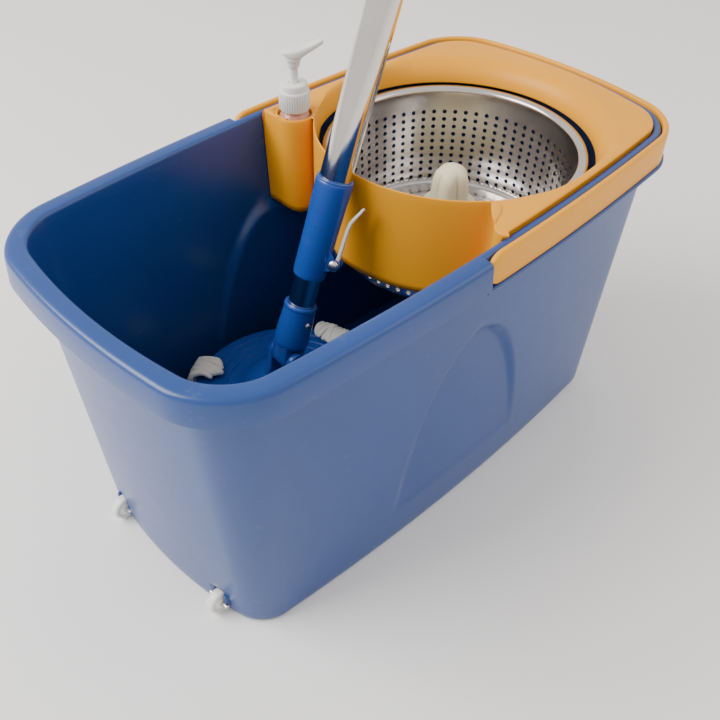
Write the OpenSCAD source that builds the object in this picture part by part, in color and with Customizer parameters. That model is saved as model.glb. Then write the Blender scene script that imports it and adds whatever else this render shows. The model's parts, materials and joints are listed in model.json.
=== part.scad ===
// Spin mop: wheeled bucket with a spinner, a soap pump and a telescopic twist mop.
// Origin at the middle of the bucket's flat underside, +X towards the spinner.

/* [Bucket] */
// Length of the rim, end to end
rim_len = 512; // [500:1:520]
// Width of the rim at its corners
rim_wid = 246; // [244:1:250]
// Height of the bucket
bucket_h = 270; // [268:1:272]
// Length of the base
base_len = 454; // [450:1:460]
// Width of the base at its corners
base_wid = 202; // [200:1:206]
// Thickness of the moulded walls
wall = 2.5; // [2.2:0.1:2.8]
// How far the rim stands out past the wall
rim_reach = 12; // [12:0.5:13]
// Height of the band that hangs down from the rim
fascia_h = 22; // [20:1:23]
// Diameter of the small wheels
wheel_d = 22; // [21:0.5:22.5]

/* [Bail handle] */
// Height of the flat handle strap
bail_h = 26; // [24:0.5:26]
// Thickness of the flat handle strap
bail_t = 4.8; // [4:0.1:5]

/* [Spinner] */
// Distance of the spinner's axis from the middle of the bucket
spin_x = 98; // [96:0.5:99]
// Inside radius of the splash collar
collar_r = 112; // [111:0.5:112.5]
// Radius of the basket under its rolled rim
basket_r = 99; // [97:0.5:99.5]
// Diameter of the drain holes
hole_d = 4; // [3:0.5:5]
// Rows of drain holes
hole_rows = 4; // [2:1:5]
// Drain holes in each row
hole_cols = 32; // [16:4:36]

/* [Soap pump] */
// Radius of the soap bottle
bottle_r = 15; // [14:0.5:15]
// Travel of the pump head
pump_travel = 10; // [6:1:11]

/* [Mop] */
// Lean of the pole away from upright, in degrees
lean = 19.5; // [19:0.5:20]
// Outside diameter of the upper tube
upper_d = 24; // [23.5:0.1:24.2]
// Outside diameter of the lower tube
lower_d = 21; // [20.5:0.1:21.2]
// Length of the upper tube
upper_len = 600; // [590:5:620]
// Radius of the round mop plate
plate_r = 78; // [70:1:80]
// Travel of the twist drive
twist_travel = 300; // [280:5:300]
// Turns of the mop over the full travel
twist_turns = 2; // [1:1:2]

/* [Hidden] */
$fn = 64;

blue = [0.10, 0.30, 0.66];
orange = [0.93, 0.58, 0.12];
steel = [0.78, 0.77, 0.74];
white = [0.94, 0.94, 0.92];
cream = [0.90, 0.86, 0.76];
gap = 0.3;          // clearance between plain pieces
fit = 0.05;         // radial running clearance of pins and shafts
eps = 0.01;

// ---------- bucket outline ----------
base_shift = 2.2;   // the base sits this much towards the spinner
corner_n = 6;       // steps round each corner
edge_n = 7;         // points along each side between corners

function mix(a, b, t) = a + (b - a) * t;
function half_len(t, off) = mix(base_len, rim_len - 2 * rim_reach, t) / 2 + off;
function half_wid(t, off) = mix(base_wid, rim_wid - 2 * rim_reach, t) / 2 + off;
function side_bow(t) = mix(12.5, 14.2, t);
function end_bow(side, t) = side < 0 ? mix(14.3, 13.7, t) : mix(13.2, 17.9, t);
function corner_r(side, t, off) = (side < 0 ? mix(21, 32, t) : mix(29, 27, t)) + off;
// Half length to the corner line at the washing end (side < 0) or the spinner end
function end_len(side, t, off) = half_len(t, off) - end_bow(side, t);
// Bends a point of the straight rounded rectangle out along the bowed sides and ends
function bowed(p, t, off) = let (
    hw = half_wid(t, off),
    end_part = end_bow(p.x, t) / end_len(p.x, t, off) * (1 - pow(p.y / hw, 2)),
    side_part = side_bow(t) / hw * (1 - pow(p.x / half_len(t, off), 2)))
    [p.x * (1 + end_part) + mix(base_shift, 0, t), p.y * (1 + side_part)];
// Straight run from corner to corner, without its end points
function run(a, b, n) = [for (i = [1:n]) mix(a, b, i / (n + 1))];
// Centre of the corner in the given quadrant
function corner_c(sx, sy, t, off) = [
    sx * (end_len(sx, t, off) - corner_r(sx, t, off)),
    sy * (half_wid(t, off) - corner_r(sx, t, off))];
function corner(sx, sy, start, t, off) = [for (i = [0:corner_n])
    let (a = start + 90 * i / corner_n)
    corner_c(sx, sy, t, off) + corner_r(sx, t, off) * [cos(a), sin(a)]];
// Closed outline: t is 0 at the base and 1 at the rim, off is measured from the wall's
// outer face
function outline(t, off) = let (
    a = corner(1, 1, 0, t, off),
    b = corner(-1, 1, 90, t, off),
    c = corner(-1, -1, 180, t, off),
    d = corner(1, -1, 270, t, off))
    [for (p = concat(
        a, run(a[corner_n], b[0], edge_n),
        b, run(b[corner_n], c[0], edge_n),
        c, run(c[corner_n], d[0], edge_n),
        d, run(d[corner_n], a[0], edge_n))) bowed(p, t, off)];
function ring(t, off, z) = [for (p = outline(t, off)) [p.x, p.y, z]];

// Closed solid through a list of rings, capped at the first and the last
module loft(rings) {
    n = len(rings[0]);
    m = len(rings);
    polyhedron(
        points = [for (r = rings) each r],
        faces = concat(
            [[for (i = [0:n - 1]) i]],
            [for (k = [0:m - 2]) for (i = [0:n - 1]) let (j = (i + 1) % n)
                each [[k * n + i, k * n + n + i, k * n + n + j],
                      [k * n + i, k * n + n + j, k * n + j]]],
            [[for (i = [n - 1:-1:0]) (m - 1) * n + i]]));
}

// Vertical band between two offsets of the rim outline
module rim_band(off_in, off_out, z0, z1) {
    translate([0, 0, z0])
        linear_extrude(z1 - z0)
            difference() {
                polygon(outline(1, off_out));
                polygon(outline(1, off_in));
            }
}

// ---------- bucket ----------
rim_t = 3;                                  // thickness of the rim's top
fascia_z = bucket_h - fascia_h;             // underside of the fascia
floor_t = 3;
strip_off = 4.1;                            // outer face of the upstand beside the bail
pivot_x = -10;
pivot_z = bucket_h - 10.8;
pivot_r = 5;
bail_top = bucket_h + 2.4;
channel_z = bail_top - bail_h - 0.4;        // top of the ledge under the bail
channel_x = pivot_x - bail_h / 2 - 1.5;     // end of the channel that the bail lies in
bail_off = 4.8;                             // inner face of the bail
rim_y = half_wid(1, 0) + side_bow(1);       // wall's outer face half way along a side
wheel_x = -222;
wheel_y = 64;
wheel_w = 9;
wheel_z = wheel_d / 2 + 0.5;
axle_r = 2;
axle_l = 20;
column_top = 145;
spindle_r = 4;
arch_x = -5;                                // middle of the arched recess
arch_z = -60;
arch_a = 82;
arch_b = 252;
arch_low = 34;                              // lower edge of the recess
arch_level = 0.12;                          // the recess stays upright from this level

module cup() {
    loft([
        ring(0, -3, 0),
        ring(0, 0, 4),
        ring(0.5, 0, bucket_h / 2),
        ring(1, 0, bucket_h - rim_t - 3),
        ring(1, rim_reach - wall, bucket_h - rim_t),
        ring(1, rim_reach - wall + 1.5, fascia_z),
        ring(1, rim_reach + 1.8, fascia_z),
        ring(1, rim_reach, bucket_h - 3),
        ring(1, rim_reach - 2, bucket_h - 0.5),
        ring(1, rim_reach - 3.5, bucket_h),
        ring(1, -wall + 2, bucket_h),
        ring(1, -wall, bucket_h - 2),
        ring(0.5, -wall, bucket_h / 2),
        ring(0, -wall, 10),
        ring(0, -wall - 6, floor_t)]);
}

// Everything on the spinner side of the bail's rounded end
module bail_side() {
    union() {
        translate([pivot_x, -200, pivot_z - 40])
            cube([300, 400, 80]);
        translate([pivot_x, 0, pivot_z])
            rotate([90, 0, 0])
                cylinder(r = bail_h / 2, h = 400, center = true);
    }
}

module bail_ledge() {
    intersection() {
        union() {
            rim_band(-1, rim_reach - 0.6, channel_z - 3, channel_z);
            rim_band(1.6, strip_off, channel_z - 3, bucket_h - 1);
        }
        translate([channel_x - wall, -200, 0])
            cube([300, 400, 300]);
    }
}

// Upstand of the wall inside the arched recess, on both long sides
module arch(grow) {
    translate([arch_x, 0, 0])
        rotate([90, 0, 0])
            linear_extrude(400, center = true)
                intersection() {
                    translate([0, arch_z])
                        resize([2 * (arch_a + grow), 2 * (arch_b + grow)])
                            circle(r = arch_a, $fn = 72);
                    translate([-arch_a - grow, arch_low - grow])
                        square([2 * (arch_a + grow), 200]);
                }
}

module arch_panels() {
    intersection() {
        arch(wall);
        translate([0, 0, 20])
            linear_extrude(200)
                difference() {
                    polygon(outline(arch_level, 0));
                    polygon(outline(arch_level, -wall));
                }
    }
}

module arch_cut() {
    difference() {
        arch(0);
        translate([0, 0, -eps])
            linear_extrude(300)
                polygon(outline(arch_level, 0));
    }
}

// Hollow moulded column that carries the spindle
module floor_column() {
    translate([spin_x, 0, 0])
        rotate_extrude($fn = 96)
            polygon([[3.9, column_top - 34], [7, column_top - 34], [12, column_top - 40],
                     [29, 3 + eps], [29, 0], [34, 0], [33, 6], [16, column_top - 12],
                     [14, column_top], [3.9, column_top]]);
}

module bucket_shell() {
    color(blue)
        difference() {
            union() {
                difference() {
                    union() {
                        cup();
                        bail_ledge();
                        arch_panels();
                        wheel_blocks();
                    }
                    arch_cut();
                    intersection() {
                        rim_band(strip_off, 40, channel_z, bucket_h + 10);
                        translate([channel_x, -200, 0])
                            cube([300, 400, 300]);
                    }
                    translate([spin_x, 0, -1])
                        cylinder(r = 30, h = 12);
                }
                floor_column();
            }
            translate([spin_x, 0, column_top - 36])
                cylinder(r = spindle_r + fit, h = 60);
            for (side = [0, 1])
                mirror([0, side, 0])
                    translate([pivot_x, rim_y + 8, pivot_z])
                        rotate([90, 0, 0])
                            cylinder(r = pivot_r + fit, h = 7.8);
            for (side = [-1, 1])
                wheel_notch(side);
        }
}

module wheel_blocks() {
    for (side = [-1, 1])
        translate([-229, side * wheel_y - 11, 0])
            cube([26, 22, 26]);
}

module wheel_notch(side) {
    translate([-250, side * wheel_y - wheel_w / 2 - 0.8, -1])
        cube([42, wheel_w + 1.6, 27]);
    translate([wheel_x, side * wheel_y, wheel_z])
        rotate([90, 0, 0])
            cylinder(r = axle_r, h = axle_l, center = true);
}

// ---------- splash insert ----------
insert_off = -wall - gap;                   // edge of the insert's flange
flange_z = bucket_h + 3;
flange_t = 3;
skirt_z = 189;
skirt_t = 2.2;
collar_low = 254;
border_low = 262;                           // lower edge of the border inside the rim
wing_c = [9.5, -116.5];                     // rounded tip of the wing on the near side
wing_r = 7;
bottle_x = 16.2;
bottle_y = 101.3;
pocket_r = bottle_r + 1;
pocket_floor = 196;
pocket_t = 2.2;
wall_level = 0.7;                           // level of the wall at the skirt's lower edge

module insert_plan() {
    intersection() {
        polygon(outline(1, insert_off));
        union() {
            translate([30, -200])
                square([300, 400]);
            translate([spin_x, 0])
                circle(r = collar_r + skirt_t, $fn = 128);
            translate(wing_c)
                circle(r = wing_r);
            translate([wing_c.x, -140])
                square([40, 140 + wing_c.y + wing_r - 1]);
            translate([bottle_x - pocket_r - pocket_t, bottle_y])
                square([60, 60]);
            translate([bottle_x, bottle_y])
                circle(r = pocket_r + pocket_t);
        }
    }
}

module splash_insert() {
    color(orange)
        difference() {
            union() {
                translate([0, 0, flange_z - flange_t])
                    linear_extrude(flange_t)
                        insert_plan();
                // hanging border that snaps inside the rim
                intersection() {
                    rim_band(insert_off - 2.2, insert_off, border_low, flange_z - 1);
                    translate([wing_c.x, -200, 0])
                        cube([300, 400, 300]);
                }
                // collar all the way round
                translate([spin_x, 0, collar_low])
                    difference() {
                        cylinder(r = collar_r + skirt_t, h = flange_z - collar_low - 1,
                                 $fn = 128);
                        translate([0, 0, -1])
                            cylinder(r = collar_r, h = 40, $fn = 128);
                    }
                // apron towards the washing side
                intersection() {
                    translate([spin_x, 0, skirt_z])
                        difference() {
                            cylinder(r = collar_r + skirt_t, h = flange_z - skirt_z - 1,
                                     $fn = 128);
                            translate([0, 0, -1])
                                cylinder(r = collar_r, h = 100, $fn = 128);
                        }
                    translate([-40, -103, 0])
                        cube([94, 206, 300]);
                }
                // web that closes the apron against the near wall
                translate([0, 0, skirt_z + 6])
                    linear_extrude(flange_z - skirt_z - 7)
                        intersection() {
                            polygon(outline(wall_level, insert_off));
                            union() {
                                translate([wing_c.x - wing_r, -140])
                                    square([skirt_t, 24]);
                                translate([wing_c.x - wing_r, wing_c.y])
                                    rotate(34)
                                        square([44, skirt_t]);
                            }
                        }
                pocket_walls();
            }
            translate([spin_x, 0, 100])
                cylinder(r = collar_r, h = 200, $fn = 128);
            translate([bottle_x, bottle_y, pocket_floor])
                cylinder(r = pocket_r, h = 100);
        }
}

// Round pocket for the soap bottle, tied to the far wall
module pocket_walls() {
    translate([0, 0, pocket_floor - 3])
        linear_extrude(flange_z - pocket_floor + 2)
            intersection() {
                polygon(outline(wall_level, insert_off));
                union() {
                    translate([bottle_x, bottle_y])
                        circle(r = pocket_r + pocket_t);
                    translate([bottle_x - pocket_r - pocket_t, bottle_y])
                        square([pocket_t, 60]);
                    translate([bottle_x + pocket_r, bottle_y])
                        square([pocket_t, 60]);
                }
            }
}

// ---------- spindle, wheels and bail ----------
hub_floor = 166;                            // upper face of the basket's floor
hub_top = 242;
bush_r = 6;

module spindle() {
    color(steel)
        translate([spin_x, 0, column_top - 34]) {
            cylinder(r = spindle_r, h = 92);
            translate([0, 0, 92])
                cylinder(r1 = spindle_r, r2 = spindle_r - 1.5, h = 2);
        }
}

module thrust_washer() {
    color(white)
        translate([spin_x, 0, column_top])
            difference() {
                cylinder(r = 11, h = 2);
                translate([0, 0, -1])
                    cylinder(r = spindle_r + 0.1, h = 4);
            }
}

module wheel_axles() {
    color(steel)
        for (side = [-1, 1])
            translate([wheel_x, side * wheel_y, wheel_z])
                rotate([90, 0, 0])
                    cylinder(r = axle_r, h = axle_l, center = true);
}

module wheel(side) {
    color(white)
        translate([wheel_x, side * wheel_y, wheel_z])
            rotate([90, 0, 0])
                rotate_extrude()
                    polygon([[axle_r + fit, -wheel_w / 2], [5, -wheel_w / 2],
                             [6, -wheel_w / 2 + 1], [wheel_d / 2 - 1.2, -wheel_w / 2 + 1],
                             [wheel_d / 2, -wheel_w / 2 + 2.2],
                             [wheel_d / 2, wheel_w / 2 - 2.2],
                             [wheel_d / 2 - 1.2, wheel_w / 2 - 1], [6, wheel_w / 2 - 1],
                             [5, wheel_w / 2], [axle_r + fit, wheel_w / 2]]);
}

module bail_pivots() {
    color(orange)
        for (side = [0, 1])
            mirror([0, side, 0])
                translate([pivot_x, rim_y + bail_off + bail_t - 1.5, pivot_z])
                    rotate([90, 0, 0])
                        cylinder(r = pivot_r, h = bail_off + bail_t - 1.8);
}

module bail_handle() {
    color(orange)
        difference() {
            intersection() {
                rim_band(bail_off, bail_off + bail_t, bail_top - bail_h, bail_top);
                bail_side();
            }
            for (side = [0, 1])
                mirror([0, side, 0])
                    translate([pivot_x, rim_y + bail_off + bail_t - 1.45, pivot_z])
                        rotate([90, 0, 0])
                            cylinder(r = pivot_r + fit, h = 20);
        }
}

// ---------- basket ----------
basket_top = 255.5;
bead_r = 3;
basket_low_r = basket_r - 4.5;
sheet = 0.9;
hole_z0 = 171;
hole_pitch = 62 / (hole_rows - 1);

// Half section of the sheet-metal basket; grow moves it outwards by the sheet thickness
function basket_line(grow) = [
    [16.5, hub_floor - sheet + grow], [42, hub_floor - sheet + grow],
    [46, hub_floor + 1.5 - sheet + grow], [52, hub_floor + 1.5 - sheet + grow],
    [56, hub_floor - sheet + grow], [64, hub_floor - sheet + grow],
    [68, hub_floor + 1.5 - sheet + grow], [74, hub_floor + 1.5 - sheet + grow],
    [78, hub_floor - sheet + grow], [88 - grow, hub_floor - sheet + grow],
    [92 - grow, hub_floor + 0.6 + grow / 2], [basket_low_r - grow, hub_floor + 4],
    [basket_r - grow, basket_top - bead_r]];

module spin_basket() {
    outer = basket_line(0);
    inner = basket_line(sheet);
    color(steel)
        translate([spin_x, 0, 0])
            difference() {
                union() {
                    rotate_extrude($fn = 128)
                        polygon(concat(outer, [for (i = [len(inner) - 1:-1:0]) inner[i]]));
                    translate([0, 0, basket_top - bead_r])
                        rotate_extrude($fn = 128)
                            translate([basket_r + bead_r - sheet, 0])
                                circle(r = bead_r, $fn = 32);
                }
                for (row = [0:hole_rows - 1])
                    for (i = [0:hole_cols - 1])
                        rotate([0, 0, 360 * i / hole_cols])
                            translate([basket_r - 12, 0, hole_z0 + row * hole_pitch])
                                rotate([0, 90, 0])
                                    cylinder(r = hole_d / 2, h = 20);
                for (i = [0:3])
                    rotate([0, 0, 45 + 90 * i])
                        translate([26, 0, hub_floor - 5])
                            cylinder(r = 2.1, h = 10);
            }
}

module drive_hub() {
    color(cream)
        translate([spin_x, 0, 0])
            difference() {
                union() {
                    rotate_extrude()
                        polygon([[bush_r, 149], [16, 149], [16, hub_floor], [38, hub_floor],
                                 [37, hub_floor + 5], [31, 184], [26, 203], [21, 209],
                                 [15, 212], [12.4, 220], [12, 232], [10, 238], [6, 241.3],
                                 [0, hub_top], [0, 207], [bush_r, 207]]);
                    translate([0, 0, 210])
                        cylinder(r = 14, h = 22, $fn = 6);
                }
                translate([0, 0, 140])
                    cylinder(r = bush_r, h = 67);
                hub_screw_holes(1.6);
            }
}

module hub_screw_holes(r) {
    for (i = [0:3])
        rotate([0, 0, 45 + 90 * i])
            translate([26, 0, 150])
                cylinder(r = r, h = 30);
}

module hub_clamp_ring() {
    color(white)
        translate([spin_x, 0, 0])
            difference() {
                translate([0, 0, 160])
                    cylinder(r = 36, h = hub_floor - sheet - 160);
                translate([0, 0, 150])
                    cylinder(r = 16.1, h = 30);
                hub_screw_holes(2.1);
            }
}

module hub_screws() {
    color(steel)
        translate([spin_x, 0, 0])
            for (i = [0:3])
                rotate([0, 0, 45 + 90 * i])
                    translate([26, 0, 157]) {
                        cylinder(r = 3.6, h = 3);
                        cylinder(r = 1.6, h = 22);
                    }
}

module spindle_bush() {
    color(white)
        translate([spin_x, 0, 0])
            difference() {
                union() {
                    translate([0, 0, 147.4])
                        cylinder(r = 9, h = 1.6);
                    translate([0, 0, 149])
                        cylinder(r = bush_r, h = 56);
                }
                translate([0, 0, 140])
                    cylinder(r = spindle_r + fit, h = 80);
            }
}

// ---------- soap bottle and pump ----------
collar_z = 277;
collar_top = 299;
neck_top = 290;
cyl_r = 5;
head_z = collar_top + pump_travel + 2;      // underside of the pump head at rest
stem_r = 3.6;

module at_bottle() {
    translate([bottle_x, bottle_y, 0])
        children();
}

module soap_bottle() {
    color([0.95, 0.62, 0.50])
        at_bottle()
            rotate_extrude()
                polygon([[0, 197], [bottle_r - 1.5, 197], [bottle_r, 198.5],
                         [bottle_r, 262], [bottle_r - 0.4, 266], [bottle_r - 2, 270],
                         [10.4, 274], [9, 275.5], [9, neck_top], [7.6, neck_top],
                         [7.6, 274.6], [9.2, 272.6], [bottle_r - 3.3, 269],
                         [bottle_r - 1.6, 265.4], [bottle_r - 1.2, 261.6],
                         [bottle_r - 1.2, 199], [0, 199]]);
}

module pump_collar() {
    color(white)
        at_bottle()
            difference() {
                union() {
                    rotate_extrude()
                        polygon([[9.1, collar_z], [12, collar_z], [12, 292], [10.9, 293],
                                 [10.9, 298], [9.8, collar_top], [3.8, collar_top],
                                 [3.8, 294], [9.1, 292.2]]);
                    for (i = [0:35])
                        rotate([0, 0, 10 * i])
                            translate([11.8, -0.35, collar_z + 1])
                                cube([0.6, 0.7, 13]);
                }
                translate([0, 0, 280])
                    cylinder(r = 3.8, h = 30);
            }
}

module pump_cylinder() {
    color(white)
        at_bottle()
            rotate_extrude()
                polygon([[2.1, 226], [3.2, 226], [6.4, 232], [6.4, neck_top + 0.1],
                         [8.8, neck_top + 0.1], [8.8, neck_top + 1.9],
                         [3.8, neck_top + 1.9], [3.8, neck_top], [cyl_r, neck_top - 1],
                         [cyl_r, 232.5], [2.1, 229]]);
}

// Open coil swept along a helix
module coil(r, wire, turns, height) {
    steps = 14;
    sides = 6;
    n = turns * steps;
    pts = [for (i = [0:n]) let (a = 360 * i / steps)
        for (k = [0:sides - 1]) let (b = 360 * k / sides)
            [(r + wire * cos(b)) * cos(a), (r + wire * cos(b)) * sin(a),
             height * i / n + wire * sin(b)]];
    polyhedron(
        points = pts,
        faces = concat(
            [[for (k = [0:sides - 1]) k]],
            [for (i = [0:n - 1]) for (k = [0:sides - 1]) let (j = (k + 1) % sides)
                each [[i * sides + k, (i + 1) * sides + k, (i + 1) * sides + j],
                      [i * sides + k, (i + 1) * sides + j, i * sides + j]]],
            [[for (k = [sides - 1:-1:0]) n * sides + k]]));
}

module pump_spring() {
    color(steel)
        at_bottle()
            translate([0, 0, 234.5])
                coil(3.6, 0.4, 7, 20);
}

module dip_tube() {
    color(white)
        at_bottle()
            translate([0, 0, 200])
                difference() {
                    cylinder(r = 2.05, h = 28);
                    translate([0, 0, -1])
                        cylinder(r = 1.3, h = 40);
                }
}

module pump_stem() {
    color(white)
        at_bottle()
            rotate_extrude()
                polygon([[1.4, 256], [cyl_r - 0.08, 256], [cyl_r - 0.08, 262],
                         [stem_r, 264], [stem_r, head_z + 7], [1.4, head_z + 7]]);
}

module pump_head() {
    color(white)
        at_bottle()
            translate([0, 0, head_z])
                difference() {
                    union() {
                        rotate_extrude()
                            polygon([[stem_r + 0.02, 0], [5.2, 0], [6.2, 3], [6.2, 12],
                                     [5.4, 14.6], [0, 15.4], [0, 7.2], [stem_r + 0.02, 7.2]]);
                        rotate([0, 0, -34])
                            translate([3, 0, 9.4])
                                rotate([0, 65, 0])
                                    cylinder(r1 = 4.6, r2 = 2.8, h = 22.5);
                        rotate([0, 0, 146])
                            translate([2, 0, 10.6])
                                rotate([0, 84, 0])
                                    cylinder(r1 = 4, r2 = 2.6, h = 8);
                    }
                    rotate([0, 0, -34])
                        translate([3, 0, 9.4])
                            rotate([0, 65, 0])
                                translate([0, 0, 4])
                                    cylinder(r = 1.3, h = 20);
                    translate([0, 0, -6])
                        cylinder(r = stem_r + 0.02, h = 13.2);
                }
}

// ---------- mop ----------
pivot = [-82.3, 7.6, 133];                  // hinge of the mop head
turn = -4.4;                                // heading of the pole's lean
upper_r = upper_d / 2;
lower_r = lower_d / 2;
tube_t = 0.8;
upper_s = 98;                               // lower end of the upper tube, along the pole
upper_end = upper_s + upper_len;
lower_s = 22;
lower_end = 592;
clamp_low = 72.6;
clamp_high = 151;
lug_turn = -62;                             // heading of the clamp's lug round the pole
lug_s = 88.7;
lug_x = 17.5;
lug_pin_r = 1.6;
rod_low = lower_end - twist_travel - 20;
rod_end = upper_end - 6;

// Pole frame: +Z runs up the pole from the head's hinge
module on_pole() {
    translate(pivot)
        rotate([0, lean, turn])
            children();
}

module tube(r, t, s0, s1) {
    translate([0, 0, s0])
        difference() {
            cylinder(r = r, h = s1 - s0);
            translate([0, 0, -1])
                cylinder(r = r - t, h = s1 - s0 + 2);
        }
}

module upper_tube() {
    color(steel)
        on_pole()
            tube(upper_r, tube_t, upper_s, upper_end);
}

module lower_tube() {
    color(steel)
        on_pole()
            tube(lower_r, tube_t, lower_s, lower_end);
}

// Sleeve that guides the lower tube's top inside the upper tube
module guide_bush() {
    color(white)
        on_pole()
            translate([0, 0, lower_end - 32])
                difference() {
                    cylinder(r = upper_r - tube_t - fit, h = 31);
                    translate([0, 0, -1])
                        cylinder(r = lower_r + fit, h = 40);
                }
}

module hand_grip() {
    color([0.12, 0.28, 0.58])
        on_pole()
            rotate_extrude()
                polygon([[upper_r + fit, upper_end - 112], [upper_r + 1.6, upper_end - 112],
                         [upper_r + 2.6, upper_end - 108], [upper_r + 2.6, upper_end - 8],
                         [upper_r + 3.4, upper_end - 3], [upper_r + 3.4, upper_end - 1],
                         [upper_r + fit, upper_end - 1]]);
}

module hanger_cap() {
    color([0.12, 0.28, 0.58])
        on_pole()
            difference() {
                union() {
                    translate([0, 0, upper_end - 5])
                        cylinder(r = upper_r - tube_t - fit, h = 5);
                    translate([0, 0, upper_end])
                        rotate_extrude()
                            polygon([[0, 0], [15.4, 0], [15.4, 6], [14.5, 22], [12, 31],
                                     [7, 36], [0, 38]]);
                }
                translate([0, 0, upper_end + 19])
                    rotate([90, 0, 0])
                        cylinder(r = 6.5, h = 60, center = true);
            }
}

module clamp_body() {
    color(blue)
        on_pole()
            difference() {
                union() {
                    rotate_extrude()
                        polygon([[lower_r + 0.3, clamp_low], [12.4, clamp_low],
                                 [12.9, clamp_low + 3], [13.2, 112], [14, clamp_high - 4],
                                 [14, clamp_high - 1], [13.4, clamp_high],
                                 [lower_r + 0.3, clamp_high]]);
                    rotate([0, 0, lug_turn])
                        for (side = [-1, 1])
                            translate([9, side * 4 - 1.5, lug_s - 7])
                                cube([lug_x - 9, 3, 14]);
                    rotate([0, 0, lug_turn])
                        for (side = [-1, 1])
                            translate([lug_x, side * 4, lug_s])
                                rotate([90, 0, 0])
                                    cylinder(r = 4.6, h = 3, center = true);
                }
                translate([0, 0, upper_s])
                    cylinder(r = upper_r, h = 100);
                translate([0, 0, clamp_low - 1])
                    cylinder(r = lower_r + 0.3, h = 60);
                rotate([0, 0, lug_turn])
                    translate([lug_x, 0, lug_s])
                        rotate([90, 0, 0])
                            cylinder(r = lug_pin_r, h = 30, center = true);
            }
}

module clamp_pin() {
    color(steel)
        on_pole()
            rotate([0, 0, lug_turn])
                translate([lug_x, 0, lug_s])
                    rotate([90, 0, 0]) {
                        cylinder(r = lug_pin_r, h = 12, center = true);
                        translate([0, 0, 5.6])
                            cylinder(r1 = 4.4, r2 = 2.8, h = 1.8);
                        translate([0, 0, -7.4])
                            cylinder(r1 = 2.8, r2 = 4.4, h = 1.8);
                    }
}

// Bent strap that swings out to free the telescopic tubes
module clamp_lever() {
    strap_w = 4.4;
    color(white)
        on_pole()
            rotate([0, 0, lug_turn])
                difference() {
                    union() {
                        translate([lug_x, 0, lug_s])
                            rotate([90, 0, 0])
                                cylinder(r = 3, h = strap_w, center = true);
                        rotate([90, 0, 0])
                            linear_extrude(strap_w, center = true)
                                polygon([[lug_x - 0.4, lug_s + 1], [lug_x + 2.4, lug_s + 1],
                                         [lug_x + 3.4, 124], [28, 137], [26.4, 138.6],
                                         [lug_x + 0.6, 125.6]]);
                    }
                    translate([lug_x, 0, lug_s])
                        rotate([90, 0, 0])
                            cylinder(r = lug_pin_r + fit, h = 30, center = true);
                }
}

// Twisted flat bar between two heights on the pole; every call lies on the same helix
module twist_section(w, t, s0, s1) {
    turn_rate = 360 * twist_turns / twist_travel;
    steps = ceil((s1 - s0) / 3);
    loft([for (i = [0:steps]) let (s = mix(s0, s1, i / steps))
        let (a = -turn_rate * (s - lower_end))
        [for (k = [[1, 1], [-1, 1], [-1, -1], [1, -1]])
            [k.x * w / 2 * cos(a) - k.y * t / 2 * sin(a),
             k.x * w / 2 * sin(a) + k.y * t / 2 * cos(a), s]]]);
}

module twist_rod() {
    color(steel)
        on_pole()
            twist_section(8, 2.4, rod_low, rod_end - 18);
}

module rod_anchor() {
    color(white)
        on_pole()
            difference() {
                translate([0, 0, rod_end - 32])
                    cylinder(r = upper_r - tube_t - fit, h = 30);
                twist_section(8.3, 2.7, rod_end - 34, rod_end - 17.8);
            }
}

module drive_nut() {
    color([0.90, 0.52, 0.14])
        on_pole()
            difference() {
                union() {
                    translate([0, 0, lower_end - 14])
                        cylinder(r = lower_r - tube_t, h = 14);
                    translate([0, 0, lower_end])
                        cylinder(r = lower_r + 0.4, h = 3);
                }
                twist_section(9, 3.4, lower_end - 15, lower_end + 4);
            }
}

head_low = 36;                              // plate's upper face below the hinge
yarn_low = floor_t + 1.5 - pivot.z;         // yarn's lowest point below the hinge
tongue_r = 9;
tongue_w = 17;
pin_r = 3;

module head_socket() {
    color(blue)
        on_pole()
            difference() {
                union() {
                    rotate_extrude()
                        polygon([[0, 10], [11, 10], [13.6, 13], [14, 18], [12.7, 44],
                                 [12.7, 48], [0, 48]]);
                    intersection() {
                        cylinder(r = 12.5, h = 14);
                        translate([-20, -tongue_w / 2, 0])
                            cube([40, tongue_w, 20]);
                    }
                    rotate([90, 0, 0])
                        cylinder(r = tongue_r, h = tongue_w, center = true);
                }
                translate([0, 0, lower_s])
                    cylinder(r = lower_r, h = 40);
                rotate([90, 0, 0])
                    cylinder(r = pin_r + fit, h = 60, center = true);
                translate([0, 0, 34])
                    rotate([90, 0, 0])
                        cylinder(r = 1.6, h = 60, center = true);
            }
}

module socket_rivet() {
    color(steel)
        on_pole()
            translate([0, 0, 34])
                rotate([90, 0, 0])
                    for (side = [0, 1])
                        mirror([0, 0, side]) {
                            translate([0, 0, lower_r + 0.1])
                                cylinder(r = 1.6, h = 3.4);
                            translate([0, 0, 13.4])
                                cylinder(r1 = 3, r2 = 1.8, h = 1.2);
                        }
}

// Level frame of the mop head, turned to face along the pole's lean
module on_head() {
    translate(pivot)
        rotate([0, 0, turn])
            children();
}

module head_pin() {
    color(steel)
        on_head()
            rotate([90, 0, 0])
                cylinder(r = pin_r, h = 30, center = true);
}

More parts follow.
